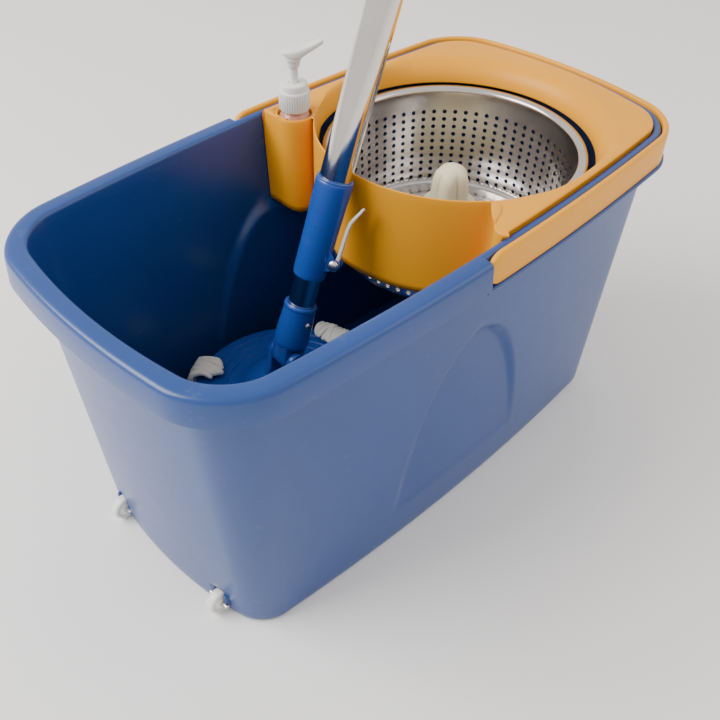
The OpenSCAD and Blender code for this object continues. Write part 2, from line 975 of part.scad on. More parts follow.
module mop_plate() {
    ear_t = 5;
    color(blue)
        on_head()
            difference() {
                union() {
                    rotate_extrude($fn = 96)
                        polygon([[0, -head_low - 5], [plate_r, -head_low - 5],
                                 [plate_r, -head_low - 1.5], [plate_r - 1.5, -head_low],
                                 [68, -head_low], [67, -head_low + 1], [66, -head_low],
                                 [56, -head_low], [55, -head_low + 1], [54, -head_low],
                                 [40, -head_low], [37, -30], [30, -24], [20, -20.5],
                                 [0, -20]]);
                    for (side = [-1, 1])
                        translate([0, side * (tongue_w / 2 + 0.4 + ear_t / 2), 0])
                            rotate([90, 0, 0]) {
                                cylinder(r = 8.5, h = ear_t, center = true);
                                translate([0, -12, 0])
                                    cube([17, 24, ear_t], center = true);
                            }
                }
                rotate([90, 0, 0])
                    cylinder(r = pin_r, h = 60, center = true);
            }
}

module refill_ring() {
    color(white)
        on_head()
            translate([0, 0, -head_low - 10])
                difference() {
                    cylinder(r = plate_r + 2, h = 4.8, $fn = 96);
                    translate([0, 0, -1])
                        cylinder(r = 34, h = 10);
                }
}

// Soft bundle of yarn under the plate, as it stands on the bucket's floor
module mop_strands() {
    color([0.95, 0.94, 0.90])
        on_head()
            rotate_extrude($fn = 48)
                polygon([[0, -head_low - 10.3], [plate_r - 4, -head_low - 10.3],
                         [plate_r + 2, -60], [plate_r + 8, -90],
                         [plate_r + 10, yarn_low + 8], [plate_r + 4, yarn_low],
                         [0, yarn_low]]);
}

bucket_shell();
splash_insert();
spindle();
thrust_washer();
wheel_axles();
bail_pivots();
bail_handle();
spin_basket();
drive_hub();
hub_clamp_ring();
hub_screws();
spindle_bush();
wheel(-1);  // wheel_near
wheel(1);  // wheel_far
soap_bottle();
pump_collar();
pump_cylinder();
pump_spring();
dip_tube();
pump_head();
pump_stem();
guide_bush();
upper_tube();
hand_grip();
hanger_cap();
clamp_body();
clamp_pin();
twist_rod();
rod_anchor();
clamp_lever();
lower_tube();
drive_nut();
head_socket();
socket_rivet();
head_pin();
mop_plate();
refill_ring();
mop_strands();
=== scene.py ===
import json
import math
import random

import bmesh
import bpy
from mathutils import Matrix, Vector


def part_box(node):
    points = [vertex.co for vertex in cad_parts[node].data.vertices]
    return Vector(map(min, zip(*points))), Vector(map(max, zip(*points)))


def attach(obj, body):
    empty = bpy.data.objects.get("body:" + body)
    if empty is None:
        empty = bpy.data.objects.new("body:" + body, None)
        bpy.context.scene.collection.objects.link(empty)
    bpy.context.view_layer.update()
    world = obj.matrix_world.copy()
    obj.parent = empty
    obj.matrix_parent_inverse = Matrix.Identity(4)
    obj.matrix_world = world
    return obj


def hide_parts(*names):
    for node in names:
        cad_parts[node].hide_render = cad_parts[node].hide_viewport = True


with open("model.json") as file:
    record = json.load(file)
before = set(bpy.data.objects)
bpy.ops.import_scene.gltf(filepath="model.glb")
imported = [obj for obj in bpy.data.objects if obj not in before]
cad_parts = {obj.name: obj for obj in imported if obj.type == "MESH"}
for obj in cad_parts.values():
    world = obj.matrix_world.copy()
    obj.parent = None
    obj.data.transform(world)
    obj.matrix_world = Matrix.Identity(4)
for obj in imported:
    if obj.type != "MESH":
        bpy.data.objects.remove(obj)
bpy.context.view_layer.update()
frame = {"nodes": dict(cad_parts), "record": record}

MM = 0.001
TAU = 2 * math.pi

# ---- frame values, in mm


def node_box(name):
    """Lowest and highest corner of a CAD node, in mm."""
    lo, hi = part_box(name)
    return [v / MM for v in lo], [v / MM for v in hi]


def joint(name):
    return next(j for j in frame["record"]["behaviour"]["joints"] if j["name"] == name)


def middle(name):
    lo, hi = node_box(name)
    return [(a + b) / 2 for a, b in zip(lo, hi)]


RIM_Z = node_box("bucket_shell")[1][2]
SPIN_X = middle("spin_basket")[0]
BOTTLE_X, BOTTLE_Y = BOTTLE_AT = middle("soap_bottle")[:2]
POLE_AXIS = Vector(joint("handle_slide")["axis"]).normalized()
HINGE = Vector(joint("head_tilt")["pos_m"])
LEVER_AXIS = Vector(joint("clamp_lever_swing")["axis"]).normalized()
BAIL_X = joint("bail_swing")["pos_m"][0] / MM
BAIL_Z = joint("bail_swing")["pos_m"][2] / MM
HEAD_AXIS = Vector(joint("head_tilt")["axis"]).normalized()

# ---- mesh helpers


def mix(a, b, t):
    return a + (b - a) * t


def smooth(x, a, b):
    t = min(1.0, max(0.0, (x - a) / (b - a)))
    return t * t * (3 - 2 * t)


def on_circle(r, degrees, centre=(0, 0)):
    """The point at an angle on a circle."""
    a = math.radians(degrees)
    return centre[0] + r * math.cos(a), centre[1] + r * math.sin(a)


def finish_mesh(name, part, material, body, replaced=(), sharp=38, matrix=None):
    """A shaded piece from (vertices in mm, faces), riding on its body."""
    verts, faces = part
    mesh = bpy.data.meshes.new(name)
    mesh.from_pydata([Vector(v) * MM for v in verts], [], faces)
    bm = bmesh.new()
    bm.from_mesh(mesh)
    bmesh.ops.remove_doubles(bm, verts=bm.verts, dist=1e-6)
    bmesh.ops.recalc_face_normals(bm, faces=bm.faces)
    if matrix is not None:
        bm.transform(matrix)
    limit = math.radians(sharp)
    for edge in bm.edges:
        edge.smooth = len(edge.link_faces) != 2 or edge.calc_face_angle(0) < limit
    for face in bm.faces:
        face.smooth = True
    bm.to_mesh(mesh)
    bm.free()
    piece = bpy.data.objects.new(name, mesh)
    bpy.context.scene.collection.objects.link(piece)
    if material is not None:
        mesh.materials.append(material)
    if body:
        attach(piece, body)
    if replaced:
        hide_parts(*replaced)
    return piece


def grid_faces(columns, rows, wrap, start=0):
    """Quads of a grid of vertices stored column by column."""
    faces = []
    for i in range(columns if wrap else columns - 1):
        j = (i + 1) % columns
        for k in range(rows - 1):
            a, b = start + i * rows + k, start + j * rows + k
            faces.append((a, b, b + 1, a + 1))
    return faces


def revolved(profile, steps=96, centre=(0, 0)):
    """Vertices and faces of a profile of (r, z) turned about Z; ends on the axis close."""
    verts = []
    for i in range(steps):
        c, s = math.cos(TAU * i / steps), math.sin(TAU * i / steps)
        verts += [(centre[0] + r * c, centre[1] + r * s, z) for r, z in profile]
    return verts, grid_faces(steps, len(profile), True)


def rounded(points, radius=0.6, steps=3):
    """A closed profile with its corners rounded off."""
    out = []
    n = len(points)
    for i, p in enumerate(points):
        a, b = Vector(points[i - 1]), Vector(points[(i + 1) % n])
        p = Vector(p)
        da, db = a - p, b - p
        r = min(radius, da.length * 0.45, db.length * 0.45)
        if da.angle(db, 0) > math.radians(165) or r < 0.05:
            out.append(tuple(p))
            continue
        pa, pb = p + da.normalized() * r, p + db.normalized() * r
        for k in range(steps + 1):
            t = k / steps
            q = pa * (1 - t) ** 2 + p * 2 * t * (1 - t) + pb * t * t
            out.append(tuple(q))
    return out


def turned(name, points, material, body, replaced=(), radius=0.6, steps=96,
           centre=(0, 0), matrix=None, sharp=38):
    """A closed lathe-turned piece."""
    part = revolved(closed(points, radius), steps, centre)
    return finish_mesh(name, part, material, body, replaced, sharp, matrix)


def merged(parts):
    """Several (verts, faces) as one."""
    verts, faces = [], []
    for v, f in parts:
        base = len(verts)
        verts += v
        faces += [tuple(base + i for i in face) for face in f]
    return verts, faces


def closed(profile, radius):
    """A rounded profile that ends where it starts."""
    line = rounded(profile, radius)
    return [*line, line[0]]


def moved(part, matrix):
    verts, faces = part
    return [tuple(matrix @ Vector(v)) for v in verts], faces


def rounded_box(size, radius, centre=(0, 0, 0)):
    """A box with rounded edges, made from a rounded outline lofted along Z."""
    hx, hy, hz = (s / 2 for s in size)
    rings = []
    for z, inset in ((-hz, radius), (-hz + radius * 0.3, radius * 0.3), (-hz + radius, 0),
                     (hz - radius, 0), (hz - radius * 0.3, radius * 0.3), (hz, radius)):
        ring = []
        for sx, sy, a0 in ((1, 1, 0), (-1, 1, 90), (-1, -1, 180), (1, -1, 270)):
            for k in range(5):
                corner = (centre[0] + sx * (hx - radius), centre[1] + sy * (hy - radius))
                ring.append((*on_circle(radius - inset, a0 + 22.5 * k, corner), centre[2] + z))
        rings.append(ring)
    return lofted(rings)


def lofted(rings, caps=True):
    n = len(rings[0])
    verts = [p for ring in rings for p in ring]
    faces = []
    for k in range(len(rings) - 1):
        for i in range(n):
            j = (i + 1) % n
            faces.append((k * n + i, k * n + j, (k + 1) * n + j, (k + 1) * n + i))
    if caps:
        faces.append(tuple(range(n))[::-1])
        faces.append(tuple((len(rings) - 1) * n + i for i in range(n)))
    return verts, faces


def tube_along(points, radius, sides=10):
    """Closed tube along points; radius is a number or one number per point."""
    radii = radius if isinstance(radius, (list, tuple)) else [radius] * len(points)
    rings = []
    side = None
    for i, p in enumerate(points):
        a = Vector(points[max(0, i - 1)])
        b = Vector(points[min(len(points) - 1, i + 1)])
        along = (b - a).normalized()
        if side is None:
            side = along.orthogonal().normalized()
        side = (side - along * side.dot(along)).normalized()
        other = along.cross(side)
        rings.append([tuple(Vector(p) + radii[i] * (math.cos(TAU * k / sides) * side
                                                    + math.sin(TAU * k / sides) * other))
                      for k in range(sides)])
    return lofted(rings)


def cut(piece, cutter):
    """Boolean difference, applied."""
    mod = piece.modifiers.new("cut", "BOOLEAN")
    mod.operation = "DIFFERENCE"
    mod.solver = "EXACT"
    mod.object = cutter
    depsgraph = bpy.context.evaluated_depsgraph_get()
    mesh = bpy.data.meshes.new_from_object(piece.evaluated_get(depsgraph))
    piece.modifiers.clear()
    piece.data = mesh
    bpy.data.objects.remove(cutter)


def solid(part, matrix=None):
    """A bare object used as a cutter."""
    return finish_mesh("cutter", part, None, None, matrix=matrix)


# ---- materials


class Nodes:
    """Short spelling for building a node tree."""

    def __init__(self, name):
        self.material = bpy.data.materials.new(name)
        self.material.use_nodes = True
        self.tree = self.material.node_tree
        self.shader = self.tree.nodes["Principled BSDF"]
        self.place = self.tree.nodes.new("ShaderNodeTexCoord").outputs["Object"]

    def new(self, kind, **inputs):
        node = self.tree.nodes.new(kind)
        for key, value in inputs.items():
            if hasattr(value, "is_linked"):
                self.tree.links.new(value, node.inputs[key])
            elif key in node.inputs:
                node.inputs[key].default_value = value
            else:
                setattr(node, key, value)
        return node

    def noise(self, scale, detail=4, rough=0.55, stretch=(1, 1, 1)):
        mapping = self.new("ShaderNodeMapping", Vector=self.place, Scale=stretch)
        node = self.new("ShaderNodeTexNoise", Vector=mapping.outputs[0], Scale=scale,
                        Detail=detail, Roughness=rough)
        return node.outputs["Fac"]

    def ramp(self, value, stops):
        node = self.new("ShaderNodeValToRGB")
        self.tree.links.new(value, node.inputs[0])
        ramp = node.color_ramp
        while len(ramp.elements) < len(stops):
            ramp.elements.new(0.5)
        for element, (at, colour) in zip(ramp.elements, stops):
            element.position = at
            element.color = colour if len(colour) == 4 else (*colour, 1)
        return node.outputs["Color"]

    def spread(self, value, low, high):
        node = self.new("ShaderNodeMapRange")
        self.tree.links.new(value, node.inputs["Value"])
        node.inputs["To Min"].default_value = low
        node.inputs["To Max"].default_value = high
        return node.outputs["Result"]

    def put(self, socket, value):
        """Links another node's output to a socket, or sets a number or a colour on it."""
        if hasattr(value, "is_linked"):
            self.tree.links.new(value, socket)
        elif isinstance(value, (int, float)):
            socket.default_value = value
        else:
            socket.default_value = (*value, 1) if len(value) == 3 else value

    def blend(self, mask, a, b):
        node = self.tree.nodes.new("ShaderNodeMix")
        node.data_type = "RGBA"
        for index, value in ((0, mask), (6, a), (7, b)):
            self.put(node.inputs[index], value)
        return node.outputs[2]

    def maths(self, operation, a, b):
        node = self.tree.nodes.new("ShaderNodeMath")
        node.operation = operation
        self.put(node.inputs[0], a)
        self.put(node.inputs[1], b)
        return node.outputs[0]

    def bump(self, height, strength, distance=0.0005):
        node = self.new("ShaderNodeBump", Strength=strength, Distance=distance)
        self.tree.links.new(height, node.inputs["Height"])
        self.tree.links.new(node.outputs[0], self.shader.inputs["Normal"])

    def set(self, **values):
        for key, value in values.items():
            self.put(self.shader.inputs[key.replace("_", " ")], value)
        return self.material


def shade(colour, factor):
    return tuple(min(1.0, c * factor) for c in colour)


def moulded_plastic(name, colour, rough=0.32, grain=0.12, dusty=0.25, coat=0.0,
                    scatter=0.0, shine=0.5):
    """Injection-moulded plastic: faint flow marks, fine grain, scuffs and a little dust."""
    m = Nodes(name)
    flow = m.noise(7, 3, 0.5, (1, 1, 0.35))
    fine = m.noise(900, 2, 0.6)
    scuff = m.noise(55, 6, 0.72, (1, 1, 2.5))
    base = m.ramp(flow, [(0.25, shade(colour, 0.90)), (0.55, colour), (0.8, shade(colour, 1.07))])
    marks = m.ramp(scuff, [(0.60, (0, 0, 0)), (0.78, (1, 1, 1))])
    pale = tuple(mix(c, 0.75, 0.22) for c in colour)
    worn = m.blend(m.maths("MULTIPLY", marks, dusty), base, pale)
    roughness = m.maths("ADD", m.spread(scuff, rough - 0.05, rough + 0.10),
                        m.spread(fine, -0.02, 0.03))
    m.bump(m.maths("ADD", m.maths("MULTIPLY", fine, grain), m.maths("MULTIPLY", flow, 0.6)),
           0.10, 0.0004)
    material = m.set(Base_Color=worn, Roughness=roughness, IOR=1.49)
    m.shader.inputs["Specular IOR Level"].default_value = shine
    m.shader.inputs["Coat Weight"].default_value = coat
    m.shader.inputs["Coat Roughness"].default_value = 0.12
    if scatter:
        m.shader.inputs["Subsurface Weight"].default_value = scatter
        m.shader.inputs["Subsurface Radius"].default_value = (0.004, 0.003, 0.002)
    return material


def polished_steel(name, colour, rough=0.14, stretch=(1, 1, 1), grain=400, streak=0.05):
    """Polished stainless: fine polishing lines, cloudy roughness, faint water spots."""
    m = Nodes(name)
    lines = m.noise(grain, 2, 0.5, stretch)
    cloud = m.noise(28, 4, 0.6)
    spots = m.noise(160, 1, 0.4)
    tone = m.ramp(cloud, [(0.3, shade(colour, 0.93)), (0.7, shade(colour, 1.04))])
    spot_mask = m.ramp(spots, [(0.70, (0, 0, 0)), (0.76, (1, 1, 1))])
    tone = m.blend(m.maths("MULTIPLY", spot_mask, 0.18), tone, shade(colour, 0.7))
    roughness = m.maths("ADD", m.spread(cloud, rough - 0.04, rough + 0.06),
                        m.spread(lines, -streak, streak))
    m.bump(lines, 0.05, 0.0001)
    return m.set(Base_Color=tone, Roughness=roughness, Metallic=1.0)


def reflection_tinted_plastic(name, colour):
    """Translucent bottle with coloured soap behind a thin wall."""
    # Translucent bottle plastic; its pink tint is painted reflection of the orange pocket round it.
    m = Nodes(name)
    cloud = m.noise(60, 3)
    tint = m.ramp(cloud, [(0.3, shade(colour, 0.86)), (0.7, shade(colour, 1.08))])
    m.bump(m.noise(300, 2), 0.06, 0.0003)
    material = m.set(Base_Color=tint, Roughness=m.spread(cloud, 0.10, 0.2), IOR=1.45)
    m.shader.inputs["Transmission Weight"].default_value = 0.45
    return material


def microfibre(name, colour):
    """Soft twisted yarn: fuzzy, slightly uneven in tone."""
    m = Nodes(name)
    fuzz = m.noise(1400, 5, 0.7)
    damp = m.noise(26, 4)
    base = m.ramp(damp, [(0.3, shade(colour, 0.80)), (0.7, colour)])
    tone = m.blend(m.spread(fuzz, 0.0, 0.3), base, shade(colour, 0.66))
    m.bump(fuzz, 0.6, 0.0008)
    material = m.set(Base_Color=tone, Roughness=m.spread(fuzz, 0.8, 0.98))
    m.shader.inputs["Sheen Weight"].default_value = 0.5
    m.shader.inputs["Sheen Roughness"].default_value = 0.5
    return material


def floor_paint():
    m = Nodes("studio_floor")
    cloud = m.noise(3, 3)
    base = m.ramp(cloud, [(0.3, (0.885, 0.870, 0.855)), (0.7, (0.91, 0.895, 0.88))])
    m.bump(m.noise(240, 3), 0.04, 0.0006)
    return m.set(Base_Color=base, Roughness=m.spread(cloud, 0.5, 0.6))


BLUE = moulded_plastic("bucket_blue", (0.010, 0.052, 0.225), rough=0.30, coat=0.15)
DEEP_BLUE = moulded_plastic("mop_blue", (0.010, 0.062, 0.320), rough=0.26, dusty=0.15)
ORANGE = moulded_plastic("insert_orange", (0.830, 0.350, 0.012), rough=0.36, dusty=0.05,
                         shine=0.28)
WHITE = moulded_plastic("white_plastic", (0.80, 0.80, 0.77), rough=0.30, dusty=0.1, scatter=0.08)
CREAM = moulded_plastic("cream_nylon", (0.82, 0.74, 0.52), rough=0.45, dusty=0.1, scatter=0.10)
AMBER = moulded_plastic("amber_acetal", (0.60, 0.27, 0.05), rough=0.4)
GRIP = moulded_plastic("grip_blue", (0.02, 0.07, 0.26), rough=0.5, grain=0.5)
BASKET_STEEL = polished_steel("basket_steel", (0.60, 0.575, 0.56), rough=0.19, grain=90,
                              streak=0.02)
TUBE_STEEL = polished_steel("tube_steel", (0.74, 0.72, 0.69), rough=0.09, streak=0.03)
BRIGHT_STEEL = polished_steel("bright_steel", (0.62, 0.62, 0.60), rough=0.25)
# the bottle's pink tint is painted reflection of the orange pocket round it
BOTTLE_PAINTED_REFLECTION = reflection_tinted_plastic("bottle_pink_painted_reflection", (0.86, 0.42, 0.30))
YARN = microfibre("white_microfibre", (0.80, 0.79, 0.74))

# ---- bucket outline, in mm

RIM_LEN, RIM_WID, BASE_LEN, BASE_WID = 488.0, 222.0, 454.0, 202.0
SIDE_BOW, LEFT_BOW, RIGHT_BOW = (12.5, 14.2), (14.3, 13.7), (13.2, 17.9)
LEFT_R, RIGHT_R = (21.0, 32.0), (29.0, 27.0)
BASE_SHIFT = 2.2
CHANNEL_X = BAIL_X - 14.5
ARCH = {"x": -5.0, "z": -60.0, "a": 82.0, "b": 252.0, "low": 34.0, "level": 0.12}


def half_sizes(t, off):
    """Half length and half width at level t (0 base, 1 rim), moved out by off."""
    return mix(BASE_LEN, RIM_LEN, t) / 2 + off, mix(BASE_WID, RIM_WID, t) / 2 + off


def outline_point(x, y, t, off):
    """Bows a point of the straight-sided outline outwards."""
    hl, hw = half_sizes(t, off)
    bow = mix(*(LEFT_BOW if x < 0 else RIGHT_BOW), t)
    px = x * (1 + bow / (hl - bow) * (1 - (y / hw) ** 2)) + mix(BASE_SHIFT, 0, t)
    return px, y * (1 + mix(*SIDE_BOW, t) / hw * (1 - (x / hl) ** 2))


def side_fractions():
    """Where the columns of a long side stand, from the spinner end to the washing end."""
    start = RIM_LEN / 2 - RIGHT_BOW[1] - RIGHT_R[1]
    end = LEFT_BOW[1] + LEFT_R[1] - RIM_LEN / 2
    xs = [start - 10 * i for i in range(1, 12)]
    xs += [84 - 2 * i for i in range(88)]
    xs += [-98 - 10 * i for i in range(10)]
    split = [CHANNEL_X + 0.02, CHANNEL_X - 0.02]
    xs = sorted([x for x in xs if abs(x - CHANNEL_X) > 0.8] + split, reverse=True)
    return [(start - x) / (start - end) for x in xs]


SIDE = side_fractions()
CORNER_STEPS = 14
END_STEPS = 22


def outline(t, off):
    """Closed outline, counter-clockwise from the spinner end's far corner."""
    hl, hw = half_sizes(t, off)

    def corner(sx, sy, start):
        bow = mix(*(LEFT_BOW if sx < 0 else RIGHT_BOW), t)
        r = mix(*(LEFT_R if sx < 0 else RIGHT_R), t) + off
        centre = sx * (hl - bow - r), sy * (hw - r)
        return [on_circle(r, start + 90 * i / CORNER_STEPS, centre)
                for i in range(CORNER_STEPS + 1)]

    def run(a, b, fractions):
        return [(mix(a[0], b[0], f), mix(a[1], b[1], f)) for f in fractions]

    ends = [i / (END_STEPS + 1) for i in range(1, END_STEPS + 1)]
    a, b, c, d = (corner(1, 1, 0), corner(-1, 1, 90), corner(-1, -1, 180), corner(1, -1, 270))
    points = (a + run(a[-1], b[0], SIDE) + b + run(b[-1], c[0], ends) + c
              + run(c[-1], d[0], [1 - f for f in reversed(SIDE)]) + d + run(d[-1], a[0], ends))
    return [outline_point(x, y, t, off) for x, y in points]


def bucket():
    """Blue bucket: rim, fascia, bail channel, arched recesses and wheel housings."""
    top = RIM_Z
    wall_top = top - 6
    rows = [5, 10, 17, 25] + [32 + 2.4 * i for i in range(68)] + [202 + 10 * i for i in range(6)]
    low = [(0, -14, 0.0), (0, -6, 0.0), (0, -3.0, 0.3), (0, -1.2, 1.2), (0, -0.3, 3.0)]
    outer = low + [(z / wall_top, 0, z) for z in rows]
    plain = [(0.97, 0, 258), (1, 0.0, top - 5.5), (1, 0.5, top - 4.4), (1, 1.6, top - 3.5),
             (1, 3.2, top - 3), (1, 7.4, top - 3), (1, 8.9, top - 3.6), (1, 9.5, top - 5),
             (1, 10.9, top - 21.2), (1, 11.1, top - 21.8), (1, 11.6, top - 22),
             (1, 13.0, top - 22), (1, 13.5, top - 21.7), (1, 13.6, top - 21),
             (1, 12.5, top - 4.5), (1, 12.1, top - 2.6), (1, 11.1, top - 1.1),
             (1, 9.6, top - 0.3), (1, 7.6, top), (1, 0.6, top)]
    step = [(0.92, 0, top - 28.5), (0.93, 0.7, top - 27.4), (0.94, 2.2, top - 26.9),
            (1, 5.0, top - 26.7), (1, 8.0, top - 26.6), (1, 10.3, top - 26.5),
            (1, 11.1, top - 26.2), (1, 11.4, top - 25.6), (1, 11.3, top - 24.6),
            (1, 10.9, top - 24.1), (1, 8.4, top - 24.0), (1, 5.2, top - 24.0),
            (1, 4.4, top - 23.6), (1, 4.1, top - 22.8), (1, 4.1, top - 4.5),
            (1, 4.1, top - 2.6), (1, 3.8, top - 1.2), (1, 3.1, top - 0.3),
            (1, 2.3, top), (1, 0.6, top)]
    inner = [(1, -0.9, top - 0.3), (1, -2.0, top - 1.2), (1, -2.5, top - 3)]
    inner += [(min(1, z / wall_top), -2.5, z) for z in [258] + rows[::-1]]
    inner += [(0, -3.4, 7.0), (0, -5.0, 4.6), (0, -7.5, 3.3), (0, -12, 3.0), (0, -20, 3.0)]
    rings = {}

    def ring(t, off):
        key = (round(t, 5), off)
        if key not in rings:
            rings[key] = outline(t, off)
        return rings[key]

    reference = ring(1, 0)
    flat = ring(ARCH["level"], 0)
    verts = []
    for i in range(len(reference)):
        in_channel = reference[i][0] > CHANNEL_X
        for t, off, z in outer + (step if in_channel else plain) + inner:
            x, y = ring(t, off)[i]
            verts.append(recessed(x, y, z, off, flat[i][1]))
    count = len(outer) + len(plain) + len(inner)
    faces = grid_faces(len(reference), count, True)
    faces.append(tuple(i * count for i in range(len(reference))))
    faces.append(tuple(i * count + count - 1 for i in range(len(reference)))[::-1])
    piece = finish_mesh("bucket_body", (verts, faces), BLUE, "bucket",
                        ("bucket_shell",), sharp=50)
    for side in (-1, 1):
        wheel = middle("wheel_near" if side < 0 else "wheel_far")
        cut(piece, solid(rounded_box((40, 10.6, 54), 1.2, (wheel[0] - 6, wheel[1], -1))))


def recessed(x, y, z, off, flat_y):
    """Pushes a wall point in where it lies inside the arched recess of a long side."""
    if not 30 < z < 205 or off > 0.01 or not -94 < x < 86:
        return (x, y, z)
    dx, dz = (x - ARCH["x"]) / ARCH["a"], (z - ARCH["z"]) / ARCH["b"]
    far = math.hypot(dx, dz)
    depth_in = (1 - far) * far / math.hypot(dx / ARCH["a"], dz / ARCH["b"])
    amount = smooth(depth_in, -2.0, 5.0) * smooth(z, ARCH["low"], ARCH["low"] + 14)
    target = flat_y + off * math.copysign(1, flat_y)
    return (x, mix(y, target, amount), z)


def wheel_housings():
    """Cheeks each side of the wheels, and the moulded column under the spinner."""
    parts = []
    for name in ("wheel_near", "wheel_far"):
        x, y, z = middle(name)
        for side in (-1, 1):
            parts.append(rounded_box((15, 3.2, 15), 1.5, (x + 7.5, y + side * 7.0, z + 3.2)))
    profile = [(4.1, 112), (4.1, 145), (14, 145), (16, 133), (32, 12), (38, 3.1), (38, 2.2),
               (10, 2.2), (10, 112)]
    parts.append(revolved(closed(profile, 1.5), 72, (SPIN_X, 0)))
    finish_mesh("bucket_fittings", merged(parts), BLUE, "bucket")


# ---- splash insert

HOLE_R = 112.0          # inside of the collar round the basket
COLLAR_LOW = 254.0
FLANGE_Z = node_box("splash_insert")[1][2]
SKIRT_Z = node_box("splash_insert")[0][2]
BORDER_LOW = 262.0      # lower edge of the border inside the rim
APRON_R = 114.2
POCKET_OUT = 16.2
MOUTH_R = 15.0          # opening over the soap bottle
INSERT_SKIN = 1.05
INSET = -3.4            # clearance kept inside the tapered wall


def resampled(points, count):
    """The polyline's points at equal distances along it."""
    lengths = [0.0]
    for a, b in zip(points, points[1:]):
        lengths.append(lengths[-1] + math.dist(a, b))
    out, k = [], 0
    for i in range(count):
        want = lengths[-1] * i / (count - 1)
        while k < len(lengths) - 2 and lengths[k + 1] < want:
            k += 1
        f = (want - lengths[k]) / max(1e-9, lengths[k + 1] - lengths[k])
        out.append(tuple(mix(p, q, f) for p, q in zip(points[k], points[k + 1])))
    return out


def relaxed(points, passes):
    """The polyline smoothed, with its ends kept."""
    for _ in range(passes):
        points = [points[0]] + [
            tuple(p * 0.25 + q * 0.5 + r * 0.25 for p, q, r in zip(a, b, c))
            for a, b, c in zip(points, points[1:], points[2:])] + [points[-1]]
    return points


def insert_boundary():
    """(outer point, hole angle, kind) all round the insert, from the near wall onwards."""
    wall_line = outline(1, -2.8)
    start = min(range(len(wall_line)),
                key=lambda i: math.dist(wall_line[i], (7, -126)))
    wall = []
    i = start
    while True:
        wall.append(wall_line[i % len(wall_line)])
        if len(wall) > 20 and wall[-1][0] < 2.0 and wall[-1][1] > 0:
            break
        i += 1
    pocket = [(0.9, y) for y in (122, 114, 106)]
    pocket += [on_circle(POCKET_OUT, a, BOTTLE_AT) for a in range(180, 312, 6)]
    apron = [on_circle(APRON_R, a, (SPIN_X, 0)) for a in range(131, 234, 2)]
    wing = [(30.2, -96.5), (27.2, -102.0), (19.5, -106.0), (11, -108.6), (5.0, -112.0),
            (1.6, -117.0), (2.0, -122.5), (5.0, -125.8)]
    line = relaxed(resampled(pocket + apron + wing, 300), 14)

    def spinner_angle(x, y):
        return math.degrees(math.atan2(y, x - SPIN_X)) % 360

    rows = []
    wall_pts = resampled(wall, 240)
    first, last = spinner_angle(*wall_pts[0]), spinner_angle(*wall_pts[-1])
    for x, y in wall_pts:
        angle = spinner_angle(x, y)
        rows.append(((x, y), angle + (360 if angle < first - 1 else 0), "wall"))
    high, reach = last + 360, first + 360
    for k, (x, y) in enumerate(line):
        f = k / (len(line) - 1)
        angle = max(high, min(reach, spinner_angle(x, y) + 360))
        if (x - SPIN_X) ** 2 + y ** 2 > (APRON_R + 3) ** 2:
            angle = mix(high, 491.5, smooth(f, 0, 0.35)) if f < 0.5 else max(angle, 592)
        rows.append(((x, y), angle, "free"))
    for k in range(1, len(rows)):
        if rows[k][1] < rows[k - 1][1]:
            rows[k] = (rows[k][0], rows[k - 1][1] + 0.01, rows[k][2])
    return rows


def insert():
    """Orange insert: flange, sloping collar, apron and wing as one moulded skin."""
    rows = insert_boundary()
    verts = []
    for (x, y), angle, kind in rows:
        hole = on_circle(HOLE_R, angle, (SPIN_X, 0))
        room = math.dist((x, y), hole)
        turn = angle % 360
        wide = smooth(turn, 246, 285) if turn > 180 else 1 - smooth(turn, 96, 118)
        if kind == "free":
            wide = 0
        slope = mix(min(1.3, room * 0.5), min(17.0, room - 5), wide)
        apron = smooth(turn, 122, 134) * (1 - smooth(turn, 228, 242))
        low = mix(COLLAR_LOW, SKIRT_Z, apron)
        edge = Vector((x, y))
        to_hole = (Vector(hole) - edge).normalized()
        column = [(*hole, mix(low, COLLAR_LOW + 1, f)) for f in (0, 0.5, 1)]
        for f in (0.04, 0.12, 0.25, 0.4, 0.55, 0.7, 0.82, 0.92, 1.0):
            z = COLLAR_LOW + 1 + (FLANGE_Z - COLLAR_LOW - 1.2) * math.sqrt(1 - (1 - f) ** 2)
            column.append((*on_circle(HOLE_R + slope * f, angle, (SPIN_X, 0)), z))
        crest = Vector(column[-1][:2])
        bead = min(1.6, room * 0.4)
        shoulder = edge + to_hole * bead
        for f in (0.25, 0.6):
            p = crest.lerp(shoulder, f)
            column.append((p.x, p.y, FLANGE_Z - 0.2 + 0.2 * f))
        for degrees in (0, 22, 45, 67, 90):
            down, out = on_circle(1, degrees)
            p = edge + to_hole * bead * (1 - out)
            column.append((p.x, p.y, FLANGE_Z - bead * (1 - down)))
        bottom = BORDER_LOW if kind == "wall" else SKIRT_Z + outer_lift(y)
        for f in (0.06, 0.3, 0.65, 0.93, 1.0):
            z = mix(FLANGE_Z - bead, bottom, f)
            column.append((x, inside_wall(x, y, z), z))
        verts += column
    faces = grid_faces(len(rows), len(column), True)
    piece = finish_mesh("splash_guard", pocket_mouth(verts, faces), ORANGE, "bucket",
                        ("splash_insert",), sharp=60)
    thicken(piece, INSERT_SKIN)
    pocket_cup()


def inside_wall(x, y, z):
    """Keeps y inside the tapered long sides of the bucket."""
    t = min(1.0, z / (RIM_Z - 6))
    limit = outline_point(x, half_sizes(t, INSET)[1], t, INSET)[1]
    return max(-limit, min(limit, y))


